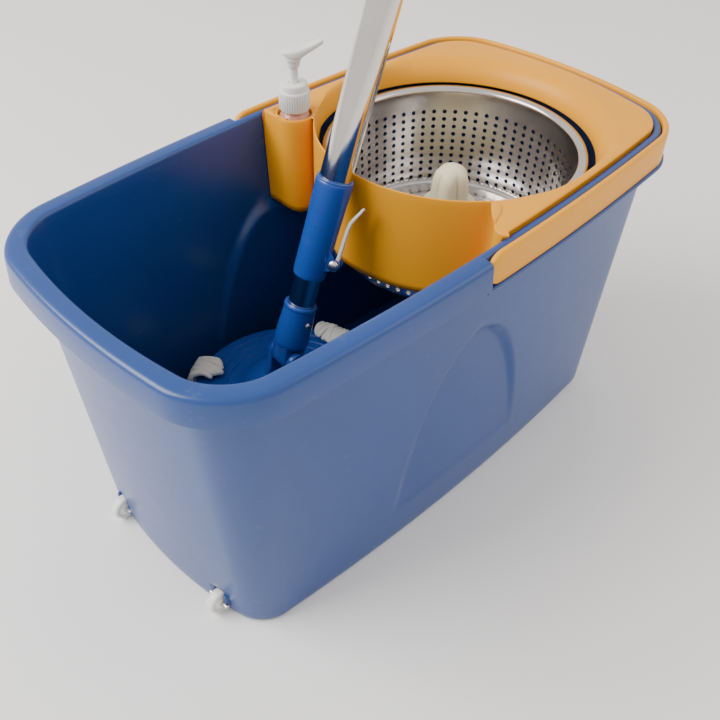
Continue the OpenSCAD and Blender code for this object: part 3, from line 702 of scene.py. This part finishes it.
def pocket_mouth(verts, faces):
    """Opens the flange over the bottle pocket with a clean round edge."""
    def reach(v):
        return math.dist(v[:2], BOTTLE_AT) if v[2] > FLANGE_Z - 4 else MOUTH_R + 9

    far = [reach(v) for v in verts]
    kept = [f for f in faces if any(far[i] >= MOUTH_R for i in f)]
    used = {i for f in kept for i in f}
    out = []
    for i, v in enumerate(verts):
        if i in used and far[i] < MOUTH_R:
            away = (Vector(v[:2]) - Vector(BOTTLE_AT)).normalized() * MOUTH_R
            v = (BOTTLE_X + away.x, BOTTLE_Y + away.y, v[2])
        out.append(v)
    return out, kept


def outer_lift(y):
    """How far the free edge's bottom stands above the apron's lowest line."""
    near = smooth(-y, 96, 124) * 14
    pocket = 4 * smooth(y, 84, 100)
    return near + pocket


def thicken(piece, thickness):
    """Solidify towards the inside, applied."""
    mod = piece.modifiers.new("skin", "SOLIDIFY")
    mod.thickness = thickness * MM
    mod.offset = -1
    mod.use_even_offset = False
    depsgraph = bpy.context.evaluated_depsgraph_get()
    mesh = bpy.data.meshes.new_from_object(piece.evaluated_get(depsgraph))
    piece.modifiers.clear()
    piece.data = mesh


def pocket_cup():
    """Lining and rounded lip of the bottle pocket."""
    low = SKIRT_Z + 5
    profile = [(0, low), (14.9, low), (15.4, low + 2), (15.4, 262), (15.7, FLANGE_Z + 0.2),
               (14.0, FLANGE_Z + 0.3), (13.6, FLANGE_Z - 2), (14.0, 260), (14.0, low + 4),
               (0, low + 3)]
    part = revolved(rounded(profile, 0.9, 4), 72, BOTTLE_AT)
    finish_mesh("bottle_pocket", part, ORANGE, "bucket")


def bail():
    """Flat strap round the spinner half, with a rounded top and round ends."""
    lo, hi = node_box("bail_handle")
    half = (hi[2] - lo[2]) / 2
    inner_off, thick = 4.8, 4.8
    inner_line, outer_line = outline(1, inner_off), outline(1, inner_off + thick)
    ring = [i for i in range(len(inner_line)) if inner_line[i][0] > BAIL_X - half + 0.02]
    gap = next(k for k in range(len(ring) - 1) if ring[k + 1] - ring[k] > 1)
    order = ring[gap + 1:] + ring[:gap + 1]
    rings = []
    for index in order:
        a, b = Vector(inner_line[index]), Vector(outer_line[index])
        x = a.x
        height = half
        if x < BAIL_X:
            height = math.sqrt(max(0.3, half ** 2 - (BAIL_X - x) ** 2))
        soft_top, soft_low = min(2.2, height * 0.4), min(1.2, height * 0.3)
        loop = []
        for u, v, r in ((0, -1, soft_low), (1, -1, soft_low), (1, 1, soft_top), (0, 1, soft_top)):
            cu = (b - a) * (u + (r / thick if u == 0 else -r / thick)) + a
            cz = BAIL_Z + v * (height - r)
            start = {(0, -1): 180, (1, -1): 270, (1, 1): 0, (0, 1): 90}[(u, v)]
            out = (b - a).normalized()
            for k in range(5):
                across, up = on_circle(r, start + 22.5 * k)
                p = cu + out * across
                loop.append((p.x, p.y, cz + up))
        rings.append(loop)
    finish_mesh("bail_strap", lofted(rings), ORANGE, "bail", ("bail_handle",), sharp=50)


# ---- spinner

SHEET = 0.9
BASKET_R = 99.0
HUB_FLOOR = 166.0
HOLE_ROWS, HOLE_COLS, HOLE_R_MM = 10, 64, 1.9
HOLE_LOW, HOLE_STEP = 170.6, 7.0


def basket_wall(z):
    """Outside radius of the basket's wall at a height."""
    return mix(BASKET_R - 4.5, BASKET_R, (z - HUB_FLOOR - 4) / 82.5)


def perforated_wall():
    """The band of holes: each cell has an outer and an inner skin and the hole's edge."""
    verts, faces = [], []
    sides = 16
    cell_a = TAU / HOLE_COLS
    for row in range(HOLE_ROWS):
        zc = HOLE_LOW + HOLE_STEP * row
        for col in range(HOLE_COLS):
            ac = cell_a * col
            base = len(verts)
            for skin in (0, SHEET):
                for ring in range(2):
                    for k in range(sides):
                        a = TAU * k / sides
                        c, s = math.cos(a), math.sin(a)
                        if ring == 0:
                            r = basket_wall(zc)
                            da, dz = HOLE_R_MM * c / r, HOLE_R_MM * s
                        else:
                            m = max(abs(c), abs(s))
                            da, dz = cell_a / 2 * c / m, HOLE_STEP / 2 * s / m
                        z = zc + dz
                        r = basket_wall(z) - skin
                        verts.append((SPIN_X + r * math.cos(ac + da), r * math.sin(ac + da), z))
            for k in range(sides):
                j = (k + 1) % sides
                o, i = base, base + 2 * sides
                faces.append((o + k, o + j, o + sides + j, o + sides + k))
                faces.append((i + k, i + sides + k, i + sides + j, i + j))
                faces.append((o + k, i + k, i + j, o + j))
    return verts, faces


def basket():
    """Spun steel basket: rolled rim, perforated wall and ribbed floor."""
    top = node_box("spin_basket")[1][2]
    low = HOLE_LOW - HOLE_STEP / 2
    high = HOLE_LOW + HOLE_STEP * (HOLE_ROWS - 0.5)
    steps = HOLE_COLS * 2
    bead, lip = 2.9, 4.5
    cz, cr = top - bead, BASKET_R + lip - SHEET
    upper = [(basket_wall(high), high), (basket_wall(high + 6), high + 6),
             (BASKET_R - 0.1, cz - 3)]
    upper += [(cr + lip * c, cz + bead * sn)
              for c, sn in (on_circle(1, a) for a in range(-110, 171, 20))]
    upper += [(BASKET_R - SHEET - 0.3, cz - 1.5), (BASKET_R - SHEET - 0.4, cz - 6),
              (basket_wall(high) - SHEET, high)]
    floor_pts = [(basket_wall(low) - SHEET, low), (basket_wall(low) - SHEET - 0.6, low - 0.6)]
    ridge = []
    for k in range(45):
        r = 91 - k * (91 - 17) / 44
        lift = 1.7 * (math.exp(-((r - 70) / 3.2) ** 2) + math.exp(-((r - 49) / 3.2) ** 2))
        lift += 2.6 * smooth(r, 85, 91)
        ridge.append((r, HUB_FLOOR + lift))
    under = [(r, z - SHEET) for r, z in reversed(ridge)]
    floor_pts += ridge + under + [(basket_wall(low) + 0.2, low - 1.2), (basket_wall(low), low)]
    a = revolved(upper, steps, (SPIN_X, 0))
    b = revolved(floor_pts, steps, (SPIN_X, 0))
    finish_mesh("perforated_basket", merged([perforated_wall(), a, b]), BASKET_STEEL,
                "basket", ("spin_basket",), sharp=40)


def hub():
    """Cream drive hub: flared skirt with a five-lobed, domed finger."""
    top = node_box("drive_hub")[1][2]
    profile = [(6, 149), (16, 149), (16, 166), (38, 166), (37.6, 169), (36, 175), (33.2, 181),
               (30.6, 186), (29.8, 188), (29.6, 190), (27.6, 191), (25.4, 196), (23, 200),
               (19, 202.4), (16.4, 204.5), (15.2, 208), (14.8, 213), (14.4, 219), (13.8, 224),
               (12.6, 228.4), (10.4, 231.8), (7, 234), (3.5, 235), (0, 235.2)]
    profile = [(r, min(z, top)) for r, z in profile]
    steps = 144
    verts = []
    for i in range(steps):
        a = TAU * i / steps
        for r, z in profile:
            lobe = 0.13 * smooth(z, 201, 208) * (1 - smooth(z, 227, 234))
            rr = r * (1 + lobe * (2 * abs(math.cos(2.5 * a + 0.4)) ** 0.7 - 1.25))
            verts.append((SPIN_X + rr * math.cos(a), rr * math.sin(a), z))
    finish_mesh("hub_finger", (verts, grid_faces(steps, len(profile), True)), CREAM, "basket",
                ("drive_hub",), sharp=50)


# ---- wheels


def wheels():
    for name in ("wheel_near", "wheel_far"):
        x, y, z = middle(name)
        lo, hi = node_box(name)
        r, half = (hi[2] - lo[2]) / 2, (hi[1] - lo[1]) / 2
        profile = [(2.05, -half), (4.6, -half), (5.4, -half + 1.1), (7.6, -half + 1.1),
                   (8.4, -half + 0.4), (r - 1, -half + 0.5), (r, -half + 1.8),
                   (r, half - 1.8), (r - 1, half - 0.5), (8.4, half - 0.4),
                   (7.6, half - 1.1), (5.4, half - 1.1), (4.6, half), (2.05, half)]
        place = Matrix.Translation(Vector((x, y, z)) * MM) @ Matrix.Rotation(math.pi / 2, 4, "X")
        turned("roller_" + name, profile, WHITE, name, (name,), 0.5, 72,
               matrix=place)


# ---- soap pump


def screw_collar():
    """White collar with grip ribs and a plain ring above them."""
    z0, top = node_box("pump_collar")[0][2], node_box("pump_collar")[1][2]
    steps = 160
    verts = []
    profile = [(9.1, z0), (11.6, z0), (12.1, z0 + 0.6), (12.1, z0 + 14.6), (11.8, z0 + 15.6),
               (11.0, z0 + 16.2), (10.9, z0 + 17), (10.9, top - 1.6), (10.5, top - 0.6),
               (9.4, top), (4.4, top), (4.0, top - 0.4), (4.0, top - 5), (9.1, z0 + 15),
               (9.1, z0)]
    for i in range(steps):
        a = TAU * i / steps
        rib = 0.3 if (i % 4) in (0, 1) else -0.25
        for r, z in profile:
            rr = r + (rib if z0 + 0.5 < z < z0 + 14.8 and r > 12 else 0)
            verts.append((BOTTLE_X + rr * math.cos(a), BOTTLE_Y + rr * math.sin(a), z))
    finish_mesh("ribbed_collar", (verts, grid_faces(steps, len(profile), True)), WHITE, "bottle",
                ("pump_collar",), sharp=45)


def pump_head():
    """Flat-topped wedge from the thumb tab to the nozzle, on a short neck."""
    base = node_box("pump_head")[0][2]
    cap = revolved(rounded([(0, base), (3.7, base), (5.0, base + 0.6), (5.4, base + 4),
                            (6.4, base + 6.4), (6.6, base + 12), (5, base + 14), (0, base + 14)],
                           0.8, 4), 48, BOTTLE_AT)
    heading = math.radians(-34)
    out = Vector((math.cos(heading), math.sin(heading), 0))
    side = Vector((-out.y, out.x, 0))
    rings = []
    for d, wide, low, high in ((-9.6, 1.6, 11.4, 12.4), (-9.2, 2.6, 10.9, 12.9),
                               (-7, 4.2, 9.6, 13.9), (-4, 6.1, 7.4, 14.7), (0, 6.9, 6.0, 15.1),
                               (4, 6.4, 6.8, 15.4), (8, 5.3, 8.8, 16.0), (13, 4.2, 11.6, 17.2),
                               (18, 3.5, 14.2, 19.0), (22.6, 3.0, 16.8, 20.9),
                               (23.4, 2.4, 17.6, 20.8)):
        ring = []
        for k in range(24):
            c, sn = math.cos(TAU * k / 24), math.sin(TAU * k / 24)
            c, sn = (math.copysign(abs(v) ** 0.6, v) for v in (c, sn))
            p = Vector((*BOTTLE_AT, base + mix(low, high, 0.5 + 0.5 * sn)))
            ring.append(tuple(p + out * d + side * wide * c))
        rings.append(ring)
    piece = finish_mesh("nozzle_head", merged([cap, lofted(rings)]), WHITE, "pump",
                        ("pump_head",), sharp=60)
    tip = Vector((*BOTTLE_AT, base + 19.2)) + out * 24
    mouth = revolved([(0, -4), (1.5, -4), (1.5, 4), (0, 4)], 24)
    cut(piece, solid(moved(mouth, frame_matrix(tip, out * 0.9 + Vector((0, 0, 0.42)), side))))


def bottle():
    """Translucent bottle with a sloping shoulder."""
    lo, hi = node_box("soap_bottle")
    r = (hi[0] - lo[0]) / 2
    profile = [(0, lo[2]), (r - 1, lo[2]), (r, lo[2] + 2), (r, 262), (r - 0.4, 266),
               (r - 2, 270), (10.5, 274), (9.0, 275.5), (9.0, hi[2]), (7.8, hi[2]), (7.8, 274),
               (9.4, 272.4), (r - 3.2, 269), (r - 1.6, 265.4), (r - 1.2, 261.5),
               (r - 1.2, lo[2] + 2), (0, lo[2] + 1.6)]
    finish_mesh("bottle_shell", revolved(rounded(profile, 0.7), 72, BOTTLE_AT), BOTTLE_PAINTED_REFLECTION, "bottle",
                ("soap_bottle",))


# ---- mop pole


def frame_matrix(origin, up, side):
    """Matrix whose Z is up and whose Y is side."""
    z = up.normalized()
    y = (side - z * side.dot(z)).normalized()
    x = y.cross(z)
    rot = Matrix((x, y, z)).transposed().to_4x4()
    return Matrix.Translation(origin) @ rot


POLE = frame_matrix(HINGE, POLE_AXIS, HEAD_AXIS)
HEAD = frame_matrix(HINGE, Vector((0, 0, 1)), HEAD_AXIS)
LUG_S, LUG_OUT = 88.7, 17.5
LEVER = frame_matrix(HINGE, POLE_AXIS, LEVER_AXIS)
LEVER_IN_POLE = POLE.inverted() @ LEVER
LEVER_IN_POLE.translation = (0, 0, 0)


def along_pole(name):
    """Lowest and highest place of a node along the pole, in mm."""
    mesh = frame["nodes"][name].data
    places = [(v.co - HINGE).dot(POLE_AXIS) / MM for v in mesh.vertices]
    return min(places), max(places)


def tubes():
    for name, body, r, t in (("upper_tube", "handle", 12.0, 0.8),
                             ("lower_tube", "lower_pole", 10.5, 0.8)):
        a, b = along_pole(name)
        profile = [(r - t, a), (r, a), (r, b), (r - t, b)]
        turned("bright_" + name, profile, TUBE_STEEL, body, (name,), 0.25, 96,
               matrix=POLE)


def clamp():
    """Blue clamp with its lug and pin, and the bent white lever."""
    a, b = along_pole("clamp_body")
    body = [(10.8, a), (12.0, a), (12.5, a + 0.8), (12.9, a + 4), (13.1, 112), (13.7, 136),
            (14.0, b - 5), (14.0, b - 2.4), (13.5, b - 1.2), (13.9, b - 0.8), (13.6, b),
            (12.02, b), (12.02, a + 26), (10.8, a + 25)]
    parts = [revolved(closed(body, 0.5), 96)]
    for side in (-1, 1):
        y = side * 4
        cheek = []
        for yy, shrink in ((y - 1.5, 0.4), (y - 1.1, 0), (y + 1.1, 0), (y + 1.5, 0.4)):
            ring = [(9 + shrink * 0.2, yy, LUG_S - 8.5 + shrink)]
            for k in range(13):
                px, ps = on_circle(4.6 - shrink, -100 + 200 * k / 12, (LUG_OUT, LUG_S))
                ring.append((px, yy, ps))
            ring.append((9 + shrink * 0.2, yy, LUG_S + 13 - shrink))
            cheek.append(ring)
        parts.append(moved(lofted(cheek), LEVER_IN_POLE))
    finish_mesh("clamp_shell", merged(parts), DEEP_BLUE, "handle", ("clamp_body",),
                sharp=42, matrix=POLE)
    strap = [(LUG_OUT + 0.9, LUG_S + 1.0, 1.5), (LUG_OUT + 1.5, 96, 1.25),
             (LUG_OUT + 1.7, 106, 1.15), (LUG_OUT + 2.0, 117, 1.15), (LUG_OUT + 2.8, 123.4, 1.2),
             (LUG_OUT + 5.0, 128.4, 1.15), (LUG_OUT + 7.4, 133, 1.05), (LUG_OUT + 9.2, 137, 0.8)]
    rings = []
    for k, (x, s, t) in enumerate(strap):
        px, ps = strap[max(0, k - 1)][:2]
        nx, ns = strap[min(len(strap) - 1, k + 1)][:2]
        d = Vector((nx - px, ns - ps)).normalized()
        nrm = Vector((-d.y, d.x))
        w = 2.2 if k < len(strap) - 1 else 1.6
        ring = []
        for u, v in ((-1, -0.7), (-0.8, -1), (0.8, -1), (1, -0.7), (1, 0.7), (0.8, 1),
                     (-0.8, 1), (-1, 0.7)):
            ring.append((x + nrm.x * t * v, u * w, s + nrm.y * t * v))
        rings.append(ring)
    eye = revolved([(1.66, -2.2), (2.6, -2.2), (3.0, -1.8), (3.0, 1.8), (2.6, 2.2),
                    (1.66, 2.2), (1.66, -2.2)], 32)
    eye = moved(eye, Matrix.Translation((LUG_OUT, 0, LUG_S)) @ Matrix.Rotation(math.pi / 2, 4, "X"))
    finish_mesh("clamp_strap", merged([lofted(rings), eye]), WHITE, "lever",
                ("clamp_lever",), sharp=60, matrix=LEVER)
    dome = [(0, 7.4), (1.6, 7.3), (3.0, 6.9), (4.1, 6.2), (4.4, 5.6), (1.55, 5.55), (1.55, 0)]
    half = revolved(dome, 40)
    pin = merged([moved(half, Matrix.Rotation(math.pi / 2 * s, 4, "X")) for s in (1, -1)])
    pin = moved(pin, Matrix.Translation((LUG_OUT, 0, LUG_S)))
    finish_mesh("domed_pin", pin, BRIGHT_STEEL, "handle",
                ("clamp_pin",), matrix=LEVER)


def grip():
    """Ribbed hand grip and the domed cap with its hanging hole."""
    a, b = along_pole("hand_grip")
    profile = [(12.1, a), (13.2, a), (14.2, a + 2)]
    n = 16
    for k in range(n):
        z0 = a + 8 + k * (b - a - 22) / n
        step = (b - a - 22) / n
        profile += [(14.6, z0), (14.6, z0 + step * 0.55), (13.9, z0 + step * 0.7),
                    (13.9, z0 + step * 0.88)]
    profile += [(14.6, b - 12), (15.3, b - 5), (15.4, b - 2), (14.8, b), (12.1, b)]
    turned("ribbed_grip", profile, GRIP, "handle", ("hand_grip",), 0.5, 72, matrix=POLE)
    a, b = along_pole("hanger_cap")
    end = b - 38
    profile = [(0, end + 0.2), (14.6, end + 0.2), (15.3, end + 1.2), (15.4, end + 6),
               (15.2, end + 14), (14.4, end + 23), (12.6, end + 30), (9.4, end + 35),
               (5, end + 36.6), (0, end + 37.1)]
    piece = turned("hanging_cap", profile, GRIP, "handle", ("hanger_cap",), 0.4, 72,
                   matrix=POLE)
    bore = moved(revolved([(0, -30), (6.5, -30), (6.5, 30), (0, 30)], 48),
                 Matrix.Translation((0, 0, end + 19)) @ Matrix.Rotation(math.pi / 2, 4, "X"))
    cut(piece, solid(bore, POLE))


def socket():
    """Blue socket with the hinge tongue."""
    profile = [(0, 10), (10.4, 10), (12.8, 11.6), (13.8, 14), (14.0, 18), (13.7, 26),
               (13.0, 38), (12.7, 44.5), (13.2, 45.3), (13.2, 46.4), (12.6, 48), (10.55, 48),
               (10.55, 23), (0, 22)]
    parts = [revolved(rounded(profile, 0.5), 96)]
    width = 17
    rings = []
    for yy, inset in ((-width / 2, 0.8), (-width / 2 + 0.8, 0), (width / 2 - 0.8, 0),
                      (width / 2, 0.8)):
        ring = [(px, yy, pz) for px, pz in (on_circle(9 - inset, a)
                                            for a in range(180, 361, 15))]
        ring += [(11.6 - inset, yy, 12.5), (-11.6 + inset, yy, 12.5)]
        rings.append(ring)
    parts.append(lofted(rings))
    finish_mesh("pole_socket", merged(parts), DEEP_BLUE, "lower_pole",
                ("head_socket",), sharp=45, matrix=POLE)


# ---- mop head

PLATE_R = 78.0
PLATE_TOP = -36.0


def plate():
    """Blue plate: rings near its edge, a domed middle and two hinge ears."""
    profile = [(0, PLATE_TOP - 5), (PLATE_R - 1, PLATE_TOP - 5), (PLATE_R, PLATE_TOP - 4),
               (PLATE_R, PLATE_TOP - 1.6), (PLATE_R - 1.2, PLATE_TOP - 0.3),
               (PLATE_R - 3, PLATE_TOP)]
    for r in (69, 61, 53):
        profile += [(r + 1.6, PLATE_TOP), (r + 0.8, PLATE_TOP + 0.9), (r - 0.8, PLATE_TOP + 0.9),
                    (r - 1.6, PLATE_TOP)]
    profile += [(45, PLATE_TOP + 0.2), (41, PLATE_TOP + 1.6), (38, PLATE_TOP + 5),
                (34, PLATE_TOP + 9.4), (28, PLATE_TOP + 12.8), (21, PLATE_TOP + 15),
                (12, PLATE_TOP + 15.8), (0, PLATE_TOP + 16)]
    parts = [revolved(profile, 144)]
    for side in (-1, 1):
        y0 = side * 8.9
        y1 = side * 13.9
        rings = []
        for yy, inset in ((y0, 0.6), (mix(y0, y1, 0.15), 0), (mix(y0, y1, 0.85), 0), (y1, 0.6)):
            ring = [(px, yy, pz) for px, pz in (on_circle(8.5 - inset, a)
                                                for a in range(0, 181, 12))]
            ring += [(-10.5 + inset, yy, -14), (-15 + inset, yy, -23), (15 - inset, yy, -23),
                     (10.5 - inset, yy, -14)]
            rings.append(ring)
        parts.append(lofted(rings))
    finish_mesh("mop_disc", merged(parts), DEEP_BLUE, "head", ("mop_plate",),
                sharp=45, matrix=HEAD)
    profile = [(34, PLATE_TOP - 10), (PLATE_R + 1, PLATE_TOP - 10), (PLATE_R + 2, PLATE_TOP - 9),
               (PLATE_R + 2, PLATE_TOP - 6.2), (PLATE_R + 1, PLATE_TOP - 5.2),
               (34, PLATE_TOP - 5.2)]
    turned("refill_disc", profile, WHITE, "head", ("refill_ring",), 0.6, 144,
           matrix=HEAD)


def yarn():
    """Microfibre strands, bunched in layers under the plate."""
    rng = random.Random(7)
    floor_z = node_box("mop_strands")[0][2] - HINGE.z / MM
    root_z = PLATE_TOP - 9
    parts = []
    for layer, (root_r, count, spread) in enumerate(((77, 150, 88), (70, 120, 82), (60, 90, 72),
                                                     (48, 60, 56), (38, 30, 34))):
        for k in range(count):
            a = TAU * (k + rng.random() * 0.8) / count
            thick = rng.uniform(2.0, 2.7)
            reach = min(86.0, spread + rng.uniform(-6, 4))
            drift = rng.uniform(-0.16, 0.16)
            drop = root_z - floor_z - thick - 0.5
            points = []
            for i in range(13):
                f = i / 12
                z = root_z - drop * smooth(f, 0, 0.74)
                bulge = math.sin(math.pi * min(1, f * 1.25)) * (reach - root_r + 6)
                curl = smooth(f, 0.62, 1.0) * rng.uniform(10, 34)
                r = root_r + bulge - curl * (0.4 + 0.6 * (layer == 0))
                r = min(r, 88.0 - thick)
                b = a + drift * f + 0.03 * math.sin(f * 9 + k)
                points.append((r * math.cos(b), r * math.sin(b),
                               z + 0.6 * math.sin(f * 13 + k)))
            radii = [thick * (0.7 if i == 0 else 1.0 if i < 11 else 0.8 - 0.3 * (i - 11))
                     for i in range(13)]
            parts.append(tube_along(points, radii, 7))
    finish_mesh("yarn_bundle", merged(parts), YARN, "head", ("mop_strands",), sharp=80,
                matrix=HEAD)


def tufts():
    """Tufts that have flopped over the plate's edge."""
    rng = random.Random(11)
    parts = []
    for heading, count, inward in ((128, 9, 21), (20, 12, 17), (160, 5, 9)):
        for k in range(count):
            a = math.radians(heading + (k - count / 2) * 2.1 + rng.uniform(-0.5, 0.5))
            thick = rng.uniform(2.2, 2.8)
            round_off = 1 - (2 * (k + 0.5) / count - 1) ** 2
            end = mix(0.55, 1.0, round_off) * rng.uniform(0.92, 1.0) * inward
            points = []
            for i in range(13):
                f = i / 12
                r = 77 + 5.5 * math.sin(math.pi * min(1, f * 2.4)) - end * smooth(f, 0.3, 1.0)
                z = PLATE_TOP - 8 + 12.5 * smooth(f, 0, 0.42) + 3.2 * math.sin(math.pi * f)
                z = max(z, PLATE_TOP + thick + 0.9 if f > 0.42 else z)
                b = a + 0.03 * math.sin(5 * f + k)
                points.append((r * math.cos(b), r * math.sin(b), z))
            radii = [thick * (1.0 if i < 11 else 0.8 - 0.3 * (i - 11)) for i in range(13)]
            parts.append(tube_along(points, radii, 7))
    finish_mesh("yarn_tufts", merged(parts), YARN, "head", (), sharp=80, matrix=HEAD)


# ---- materials of CAD nodes


def paint_cad_nodes():
    """Procedural materials for the CAD nodes that are shown as they are."""
    looks = {
        BRIGHT_STEEL: ("spindle", "wheel_axles", "hub_screws", "pump_spring", "twist_rod",
                       "socket_rivet", "head_pin"),
        WHITE: ("thrust_washer", "hub_clamp_ring", "spindle_bush", "pump_cylinder", "dip_tube",
                "pump_stem", "guide_bush", "rod_anchor"),
        ORANGE: ("bail_pivots",),
        AMBER: ("drive_nut",)}
    for material, names in looks.items():
        for name in names:
            materials = frame["nodes"][name].data.materials
            materials.clear()
            materials.append(material)


# ---- camera, light and floor


def camera():
    """The camera stands at a washing-side corner, looking down at the bucket."""
    azimuth, elevation, roll = (math.radians(v) for v in (-45.45, 43.81, 1.12))
    back = Vector((math.sin(azimuth) * math.cos(elevation),
                   -math.cos(azimuth) * math.cos(elevation), math.sin(elevation)))
    right = Vector((math.cos(azimuth), math.sin(azimuth), 0))
    up = back.cross(right)
    turn = Matrix.Rotation(roll, 3, back)
    right, up = turn @ right, turn @ up
    data = bpy.data.cameras.new("view")
    data.sensor_width = 36
    data.lens = 45.08
    data.shift_x = 0.0091
    data.shift_y = 0.0347
    data.clip_start = 0.02
    cam = bpy.data.objects.new("view", data)
    offset_right, offset_up, distance = -0.00868, 0.03623, 0.85377
    place = back * distance + right * offset_right + up * offset_up
    rot = Matrix((right, up, back)).transposed().to_4x4()
    cam.matrix_world = Matrix.Translation(place) @ rot
    bpy.context.scene.collection.objects.link(cam)
    bpy.context.scene.camera = cam


def area_light(name, place, aim, size, power, colour=(1, 1, 1)):
    data = bpy.data.lights.new(name, "AREA")
    data.shape = "RECTANGLE"
    data.size, data.size_y = size
    data.energy = power
    data.color = colour
    lamp = bpy.data.objects.new(name, data)
    direction = Vector(aim) - Vector(place)
    lamp.rotation_mode = "QUATERNION"
    lamp.rotation_quaternion = direction.to_track_quat("-Z", "Y")
    lamp.location = place
    bpy.context.scene.collection.objects.link(lamp)


def studio():
    """Pale floor, pale surroundings and large soft lights."""
    mesh = bpy.data.meshes.new("floor")
    half = 4.0
    mesh.from_pydata([(-half, -half, 0), (half, -half, 0), (half, half, 0), (-half, half, 0)],
                     [], [(0, 1, 2, 3)])
    mesh.materials.append(floor_paint())
    floor = bpy.data.objects.new("floor", mesh)
    bpy.context.scene.collection.objects.link(floor)
    world = bpy.data.worlds.new("studio")
    world.use_nodes = True
    background = world.node_tree.nodes["Background"]
    background.inputs["Color"].default_value = (0.98, 0.95, 0.92, 1)
    background.inputs["Strength"].default_value = 1.05
    bpy.context.scene.world = world
    area_light("window", (-1.3, 0.9, 1.6), (0, 0, 0.15), (1.6, 1.2), 60, (1, 0.99, 0.97))
    area_light("fill", (1.4, -1.2, 1.5), (0, 0, 0.2), (1.6, 1.4), 10, (1, 0.95, 0.90))


def main():
    camera()
    studio()
    bucket()
    wheel_housings()
    insert()
    bail()
    basket()
    hub()
    wheels()
    screw_collar()
    pump_head()
    bottle()
    tubes()
    clamp()
    grip()
    socket()
    plate()
    yarn()
    tufts()
    paint_cad_nodes()


main()
